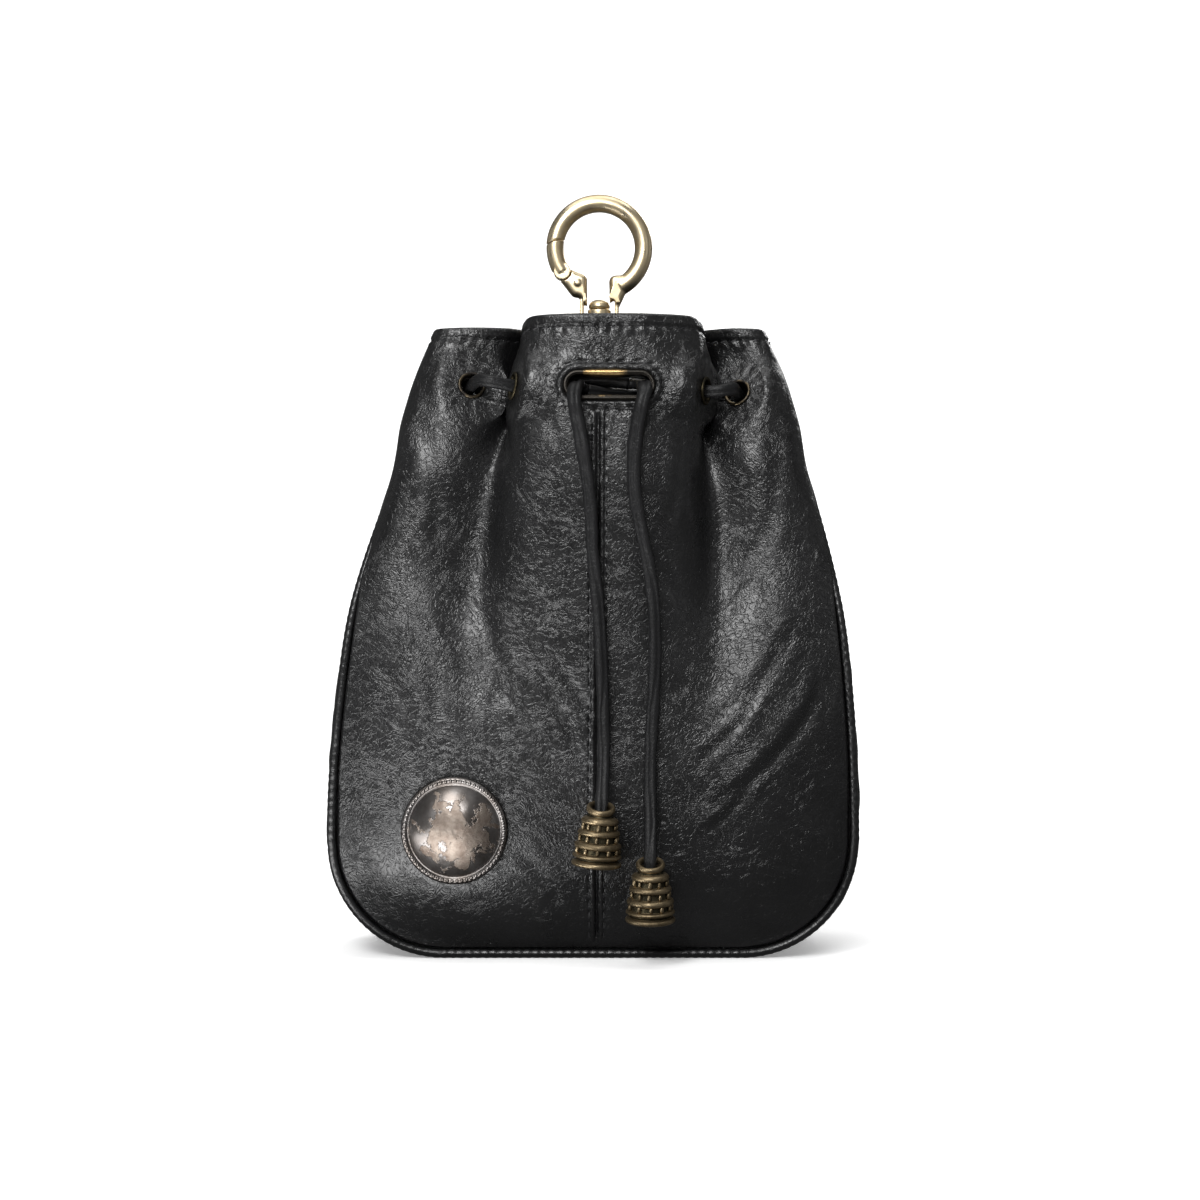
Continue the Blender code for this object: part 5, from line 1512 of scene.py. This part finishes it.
def make_slot_grommet(frame):
    """The long grommet: a rounded rim with a fine step, a barrel and a back rim."""
    centre, normal = frame
    rim, back = SLOT_RIM, LEATHER + GAP
    top = SLOT_RIM_THICKNESS + GAP
    corners = [
        (0.0, -back - SLOT_BACK_RIM), (0.0, 0.5 * SLOT_RIM_THICKNESS + GAP), (0.22 * rim, 0.92 * top),
        (0.40 * rim, 0.92 * top), (0.44 * rim, top), (0.8 * rim, top),
        (rim, 0.45 * SLOT_RIM_THICKNESS + GAP), (rim, GAP * 0.6), (SLOT_BARREL, GAP * 0.6),
        (SLOT_BARREL, -back), (rim, -back), (rim, -back - SLOT_BACK_RIM),
    ]
    profile = rounded_profile(corners, 0.2 * MM, 2)
    rows = []
    for outward, forward in profile:
        outline = racetrack(
            SLOT_LENGTH - 2 * SLOT_RIM + 2 * outward, SLOT_HEIGHT - 2 * SLOT_RIM + 2 * outward, 18, 14
        )
        rows.append([(x, -forward, z) for x, z in outline])
    rows.append(rows[0])
    grid = np.array(rows)
    faces = grid_faces(grid.shape[0], grid.shape[1], closed=True)
    mesh = mesh_from("slot_grommet_metal", placed(grid.reshape(-1, 3), centre, upright_turn(normal)), faces)
    outward_faces(mesh, weld=0.001 * MM)
    # The grommet's brass carries a painted gold glint on its upper side.
    return add_piece("slot_grommet_metal", mesh, SLOT_BRASS_PAINTED_GLINT, "pouch", ["slot_grommet"])


def make_concho(frame):
    """The domed button: a worn dome, a groove and a rim of small beads."""
    centre, normal = frame
    radius, edge = CONCHO_RADIUS, CONCHO_EDGE
    base = GAP + edge * 0.6
    dome = [(ON_AXIS, base + CONCHO_DOME)]
    for share in np.linspace(0.02, 0.84, 40):
        height = base + CONCHO_DOME * (1 - (share / 0.86) ** 2) ** 0.9 * 0.99
        dome.append((share * radius, height))
    rim = [
        (0.865 * radius, GAP + 0.55 * edge), (0.885 * radius, GAP + 0.6 * edge),
        (0.9 * radius, GAP + 0.85 * edge), (0.96 * radius, GAP + 0.85 * edge),
        (0.985 * radius, GAP + 0.7 * edge), (radius, GAP + 0.4 * edge), (0.985 * radius, GAP), (ON_AXIS, GAP),
    ]
    points, faces = turned(dome + rim, 96, closed=False)
    wear = noise_at(points, 3.2 * MM, 17.0) + 0.5 * noise_at(points, 1.3 * MM, 21.0)
    middle = bell(np.hypot(points[:, 0] + 0.5 * MM, points[:, 1]) / (7 * MM))
    points[:, 2] += np.where(points[:, 2] > base, 0.09 * MM * wear * (0.35 + middle), 0)
    meshes = [(points, faces)]
    count = 64
    for i in range(count):
        angle = 2 * math.pi * i / count
        place = (0.93 * radius * math.cos(angle), 0.93 * radius * math.sin(angle), GAP + 0.82 * edge)
        meshes.append(small_ball(place, 0.56 * MM, 0.9))
    points, faces = joined(meshes)
    mesh = mesh_from("concho_metal", placed(points, centre, standing_turn(normal)), faces)
    return add_piece("concho_metal", mesh, TARNISHED, "pouch", ["concho"])


frames = [patch[0] for patch in front_patches() + back_patches()]
make_slot_grommet(frames[0])
make_concho(frames[1])
for eyelet, eyelet_frame in zip(FRONT_EYELETS + BACK_EYELETS, frames[2:]):
    make_eyelet(eyelet[0], eyelet_frame)


# Hanger tab and swivel eye

def eye_bar_height():
    return RING_CENTRE_HEIGHT - BRIDGE_DROP - 2 * GAP - EYE_HEIGHT + EYE_WIRE


def make_swivel_eye():
    """A wire eye with a round-headed post riveted to it."""
    middle = RING_CENTRE_HEIGHT - BRIDGE_DROP - 2 * GAP
    head = RING_CENTRE_HEIGHT - BOSS_DROP + GAP
    profile = [(ON_AXIS, head + HEAD_HEIGHT)]
    for angle in np.linspace(0.1, 0.5 * math.pi, 12):
        profile.append((HEAD_RADIUS * math.sin(angle), head + HEAD_HEIGHT * (0.28 + 0.72 * math.cos(angle))))
    profile += [
        (HEAD_RADIUS, head + 0.12 * HEAD_HEIGHT), (0.93 * HEAD_RADIUS, head), (POST_RADIUS, head),
        (POST_RADIUS, middle), (1.8 * POST_RADIUS, middle), (2 * POST_RADIUS, middle - 0.3 * MM),
        (2 * POST_RADIUS, middle - 2 * EYE_WIRE + 0.3 * MM), (1.7 * POST_RADIUS, middle - 2 * EYE_WIRE),
        (ON_AXIS, middle - 2 * EYE_WIRE),
    ]
    centre = middle - EYE_HEIGHT / 2
    outline = racetrack(EYE_WIDTH - 2 * EYE_WIRE, EYE_HEIGHT - 2 * EYE_WIRE, 14, 10)
    wire = np.array([(x, 0.0, centre + z) for x, z in outline])
    eye = swept(wire, (0, 1, 0), circle(EYE_WIRE, 16), closed=True)
    points, faces = joined([turned(profile, 48, closed=False), eye])
    mesh = mesh_from("swivel_eye_metal", placed(points, (RING_X, 0, 0), Matrix.Identity(3)), faces)
    return add_piece("swivel_eye_metal", mesh, OLD_GOLD, "pouch", ["swivel_eye"])


def tab_line():
    """The strap's middle line in Y and Z: its sewn seat, its turn round the wire and back down."""
    half = TAB_LEATHER / 2
    seat = []
    for share in np.linspace(0, 1, 5):
        height = TAB_SEAT_LOW + (TAB_SEAT_TOP - TAB_SEAT_LOW) * share
        inner = min(float(raw_back(across, height)[1]) for across in (-0.06, 0, 0.06)) - LEATHER
        seat.append((inner - TAB_STANDOFF - half, height))
    bar = eye_bar_height()
    reach = EYE_WIRE + GAP + half
    start = math.atan2(seat[-1][1] - bar, seat[-1][0])
    around = []
    for i in range(9):
        angle = start + 0.5 * math.pi + math.pi * i / 8
        around.append((reach * math.cos(angle), bar + reach * math.sin(angle)))
    front_layer = [(y - TAB_LEATHER - 0.7 * GAP, z) for y, z in reversed(seat)]
    return seat, around, front_layer


def make_hanger_tab():
    seat, around, front_layer = tab_line()
    points = smooth_route([(RING_X / MM, y / MM, z / MM) for y, z in seat + around + front_layer], 0.6 * MM)
    half, thick = TAB_WIDTH / 2, TAB_LEATHER / 2
    section = rounded_profile([(-half, -thick), (half, -thick), (half, thick), (-half, thick)], 0.5 * MM, 4)
    mesh = mesh_from("hanger_strap", *swept(points, (1, 0, 0), section))
    add_piece("hanger_strap", mesh, SMOOTH_LEATHER, "pouch", ["hanger_tab"])
    stitches = []
    line = np.array([(RING_X, y - thick, z) for y, z in front_layer])
    for way in (-1, 1):
        row = line + np.array((way * (half - 1.3 * MM), 0.0, 0.0))
        facing = np.broadcast_to(np.array((0.0, -1.0, 0.0)), row.shape)
        stitches += stitches_along(row, facing, 2.8 * MM, 1.8 * MM, 0.18 * MM, 0.05 * MM)
    mesh = mesh_from("strap_stitching", *joined(stitches))
    return add_piece("strap_stitching", mesh, THREAD, "pouch")


make_swivel_eye()
make_hanger_tab()


# Ring clasp

def ring_arc(start, end, step=math.radians(2.5)):
    count = max(2, round(abs(end - start) / step))
    angles = np.linspace(start, end, count + 1)
    return np.stack((RING_RADIUS * np.cos(angles), 0 * angles, RING_RADIUS * np.sin(angles)), axis=1)


def round_bar(points, radius, sides=36):
    """A round bar along a line in the ring's plane."""
    return swept(points, (0, 1, 0), circle(radius, sides))


def slab(outline, thickness, edge=1.5 * MM):
    """A flat shape in the ring's plane, its outline corners and its edges well rounded."""
    outline = rounded_profile(outline, 0.9 * MM, 4)
    tangent = unit(np.roll(outline, -1, axis=0) - np.roll(outline, 1, axis=0))
    inward = np.stack((-tangent[:, 1], tangent[:, 0]), axis=1)
    area = np.sum(outline[:, 0] * np.roll(outline[:, 1], -1) - np.roll(outline[:, 0], -1) * outline[:, 1])
    inward *= np.sign(area)
    rows = []
    for angle in np.linspace(-0.5 * math.pi, 0.5 * math.pi, 11):
        depth = math.sin(angle) * thickness / 2
        inset = edge * (1 - math.cos(angle) ** 0.8) if abs(angle) < 1.57 else edge
        shrunk = outline + inward * inset
        rows.append(np.stack((shrunk[:, 0], np.full(len(shrunk), depth), shrunk[:, 1]), axis=1))
    width = len(outline)
    faces = grid_faces(len(rows), width, closed=True)
    return np.concatenate(rows), faces + end_faces(len(rows), width)


def box(low, high):
    (x0, y0, z0), (x1, y1, z1) = low, high
    points = [(x0, y0, z0), (x1, y0, z0), (x1, y1, z0), (x0, y1, z0),
              (x0, y0, z1), (x1, y0, z1), (x1, y1, z1), (x0, y1, z1)]
    faces = [(0, 3, 2, 1), (4, 5, 6, 7), (0, 1, 5, 4), (1, 2, 6, 5), (2, 3, 7, 6), (3, 0, 4, 7)]
    return np.array(points), faces


def rod(place, direction, radius, length, sides=40):
    """A plain rod used to join or to cut."""
    half = length / 2
    points, faces = turned([(radius, half), (radius, -half)], sides, closed=False)
    faces += turned_over(end_faces(2, sides))
    return placed(points, place, standing_turn(direction)), faces


def temporary(name, points, faces):
    mesh = mesh_from(name, points, faces)
    outward_faces(mesh)
    return new_object(name, mesh)


def worked(name, obj, steps):
    """The mesh that an object has after its modifiers; the object and its helpers go."""
    bpy.context.view_layer.update()
    graph = bpy.context.evaluated_depsgraph_get()
    mesh = bpy.data.meshes.new_from_object(obj.evaluated_get(graph))
    mesh.name = name
    bpy.data.objects.remove(obj)
    for helper in steps:
        bpy.data.objects.remove(helper)
    return mesh


def combined(obj, operation, helper):
    modifier = obj.modifiers.new(operation.lower(), "BOOLEAN")
    modifier.operation = operation
    modifier.object = helper
    modifier.solver = "EXACT"


SOFTENING = 0.2 * MM       # what smoothing takes off a bar's radius, given back beforehand


def melted(obj, voxel, smooth_steps):
    """Welds overlapping parts into one skin with soft inner corners."""
    remesh = obj.modifiers.new("skin", "REMESH")
    remesh.mode = "VOXEL"
    remesh.voxel_size = voxel
    remesh.use_smooth_shade = True
    if smooth_steps:
        smooth = obj.modifiers.new("soft", "SMOOTH")
        smooth.factor = 0.5
        smooth.iterations = smooth_steps


def pivot_point():
    return np.array((RING_RADIUS * math.cos(PIVOT_ANGLE), 0.0, RING_RADIUS * math.sin(PIVOT_ANGLE)))


def foot_outline(shares):
    return [(x * RING_RADIUS, z * RING_RADIUS) for x, z in shares]


def lug_outline(pivot):
    """A tongue with a round end about the pivot, running into the left foot."""
    direction = np.array((0.8, -0.6))
    side = np.array((0.6, 0.8))
    middle = pivot[[0, 2]]
    points = []
    for i in range(9):
        angle = math.pi * (0.5 + i / 8)
        forward, aside = LUG_RADIUS * math.cos(angle), LUG_RADIUS * math.sin(angle)
        points.append(middle + direction * forward + side * aside)
    for way in (-1, 1):
        points.append(middle + direction * LUG_LENGTH + side * (way * LUG_RADIUS))
    return [tuple(point) for point in points]


FOOT_RIVET = (-6.2 * MM, 0.0, -10.2 * MM)


def finish_clasp(name, mesh, body, node):
    mesh.transform(Matrix.Translation((RING_X, 0, RING_CENTRE_HEIGHT)))
    mesh.shade_smooth()
    return add_piece(name, mesh, OLD_GOLD, body, [node])


def make_clasp_ring():
    """The hoop, its two feet, the lug for the gate, the stirrup, its bridge and its boss."""
    pivot = pivot_point()
    hoop = temporary("hoop", *round_bar(ring_arc(HOOP_START, HOOP_END), BAR_RADIUS + SOFTENING))
    tip = temporary("tip", *rod(pivot, (0, 1, 0), GATE_REACH + PIVOT_CLEARANCE / 2, 8 * MM, 64))
    combined(hoop, "DIFFERENCE", tip)
    hoop_mesh = worked("hoop", hoop, [tip])
    left = temporary("left", *slab(foot_outline(LEFT_FOOT), FOOT_THICKNESS + SOFTENING))
    knuckle = temporary("knuckle", *rod(pivot, (0, 1, 0), BAR_RADIUS + PIVOT_CLEARANCE, 8 * MM, 40))
    melted(left, 0.2 * MM, 4)
    combined(left, "DIFFERENCE", knuckle)
    left_mesh = worked("left", left, [knuckle])
    parts = []
    for mesh in (hoop_mesh, left_mesh):
        parts.append(([tuple(v.co) for v in mesh.vertices], [tuple(face.vertices) for face in mesh.polygons]))
    parts.append(slab(foot_outline(RIGHT_FOOT), FOOT_THICKNESS + SOFTENING))
    parts.append(rod(FOOT_RIVET, (0, 1, 0), 0.85 * MM, FOOT_THICKNESS + 0.9 * MM, 24))
    parts.append(slab(lug_outline(pivot), LUG_THICKNESS, 0.2 * MM))
    bottom = -BRIDGE_DROP
    for way in (-1, 1):
        low, high = sorted((way * (ARM_REACH - ARM_THICKNESS), way * ARM_REACH))
        arm_top = -ARM_TOP * RING_RADIUS
        parts.append(box((low, -ARM_WIDTH / 2, bottom), (high, ARM_WIDTH / 2, arm_top)))
    half_bridge = ARM_REACH - 0.05 * ARM_THICKNESS
    half_depth = ARM_WIDTH / 2 + 0.2 * MM
    bridge_top = bottom + BRIDGE_THICKNESS
    parts.append(box((-half_bridge, -half_depth, bottom), (half_bridge, half_depth, bridge_top)))
    boss_low = bottom + 0.2 * BRIDGE_THICKNESS
    middle = (0, 0, (boss_low - BOSS_DROP) / 2)
    parts.append(rod(middle, (0, 0, 1), BOSS_RADIUS + SOFTENING, -BOSS_DROP - boss_low, 48))
    whole = temporary("clasp", *joined(parts))
    melted(whole, 0.2 * MM, 9)
    solid = temporary("clasp_skin", [(0, 0, 0)], [])
    solid.data = worked("clasp_skin", whole, [])
    bore = (0, 0, (bottom - BOSS_DROP) / 2)
    post = temporary("post", *rod(bore, (0, 0, 1), POST_RADIUS + POST_CLEARANCE, 16 * MM, 32))
    combined(solid, "DIFFERENCE", post)
    mesh = worked("clasp_ring_metal", solid, [post])
    return finish_clasp("clasp_ring_metal", mesh, "ring", "clasp_ring")


def make_gate():
    """The gate: a curved bar with a forked knuckle that pivots on the lug."""
    pivot = pivot_point()
    parts = [round_bar(ring_arc(PIVOT_ANGLE, GATE_END), BAR_RADIUS + 0.6 * SOFTENING)]
    parts.append(rod(pivot, (0, 1, 0), BAR_RADIUS, FOOT_THICKNESS, 40))
    gate = temporary("gate_bar", *joined(parts))
    melted(gate, 0.16 * MM, 4)
    skin = temporary("gate_skin", [(0, 0, 0)], [])
    skin.data = worked("gate_skin", gate, [])
    tip = temporary("tip", *rod(pivot, (0, 1, 0), GATE_REACH - PIVOT_CLEARANCE / 2, 8 * MM, 64))
    combined(skin, "INTERSECT", tip)
    fork_gap = LUG_THICKNESS + 2 * GAP
    fork = temporary("fork", *rod(pivot, (0, 1, 0), BAR_RADIUS + PIVOT_CLEARANCE, fork_gap, 40))
    combined(skin, "DIFFERENCE", fork)
    mesh = worked("gate_metal", skin, [tip, fork])
    return finish_clasp("gate_metal", mesh, "gate", "gate")


def make_gate_pin():
    """The gate's rivet, with a slightly raised head on both faces."""
    half = FOOT_THICKNESS / 2 + 0.12 * MM
    head = 1.15 * PIN_RADIUS
    profile = [
        (ON_AXIS, half), (0.5 * head, half - 0.02 * MM), (0.9 * head, half - 0.1 * MM),
        (head, half - 0.2 * MM), (PIN_RADIUS, half - 0.3 * MM), (PIN_RADIUS, -half + 0.3 * MM),
        (head, -half + 0.2 * MM), (0.9 * head, -half + 0.1 * MM), (0.5 * head, -half + 0.02 * MM),
        (ON_AXIS, -half),
    ]
    points, faces = turned(profile, 24, closed=False)
    mesh = mesh_from("gate_rivet", placed(points, pivot_point(), standing_turn((0, 1, 0))), faces)
    return finish_clasp("gate_rivet", mesh, "ring", "gate_pin")


make_clasp_ring()
make_gate()
make_gate_pin()


# Stage and light

STAGE_GLOW = 0.25


def make_stage():
    """A seamless white floor that curves up into a backdrop."""
    line = [(-1.6, 0.0), (0.35, 0.0)]
    for angle in np.linspace(0, 0.5 * math.pi, 14)[1:]:
        line.append((0.35 + 0.45 * math.sin(angle), 0.45 * (1 - math.cos(angle))))
    line.append((0.8, 1.8))
    points = [(x, y, z) for y, z in line for x in (-2.2, 2.2)]
    faces = [(2 * i, 2 * i + 1, 2 * i + 3, 2 * i + 2) for i in range(len(line) - 1)]
    mesh = mesh_from("backdrop", points, faces)
    mesh.materials.append(stage_white("backdrop_white", STAGE_GLOW))
    stage = new_object("backdrop", mesh)
    stage.visible_glossy = False
    return stage


def soft_box(name, place, aim, size, power):
    """A rectangular light. The camera doesn't see it, which is how a new light starts."""
    data = bpy.data.lights.new(name, "AREA")
    data.shape = "RECTANGLE"
    data.size, data.size_y = size
    data.energy = power
    light = new_object(name, data)
    light.location = place
    light.rotation_euler = (Vector(aim) - Vector(place)).to_track_quat("-Z", "Y").to_euler()


make_stage()
LIGHTS = (
    # name, place, point aimed at, size, power
    ("key_box", (-0.25, -0.70, 0.70), (0, 0, 0.10), (0.28, 0.34), 4.9),
    ("front_box", (-0.14, -0.80, 0.46), (0, 0, 0.18), (0.34, 0.14), 2.8),
    ("left_box", (-0.56, -0.66, 0.36), (0, 0, 0.10), (0.14, 0.4), 0.3),
    ("right_box", (0.62, -0.62, 0.36), (0, 0, 0.10), (0.14, 0.5), 0.25),
    ("top_box", (0.0, -0.05, 1.1), (0, 0, 0.0), (1.1, 0.7), 5.5),
    ("floor_box", (-0.10, -0.12, 0.004), (-0.10, -0.12, 0.5), (0.14, 0.12), 0.5),
    ("back_box", (0.25, 0.62, 0.50), (0, 0, 0.10), (0.4, 0.3), 2.5),
    ("left_rim", (-0.85, 0.05, 0.30), (0, 0, 0.09), (0.2, 0.6), 0.12),
    ("right_rim", (0.85, 0.05, 0.30), (0, 0, 0.09), (0.2, 0.6), 0.15),
)
for light_box in LIGHTS:
    soft_box(*light_box)

world = bpy.data.worlds.new("studio")
world.use_nodes = True
world.node_tree.nodes["Background"].inputs["Color"].default_value = (1, 1, 1, 1)
world.node_tree.nodes["Background"].inputs["Strength"].default_value = 0.14
bpy.context.scene.world = world
bpy.context.scene.view_settings.view_transform = "Standard"
bpy.context.scene.view_settings.look = "None"
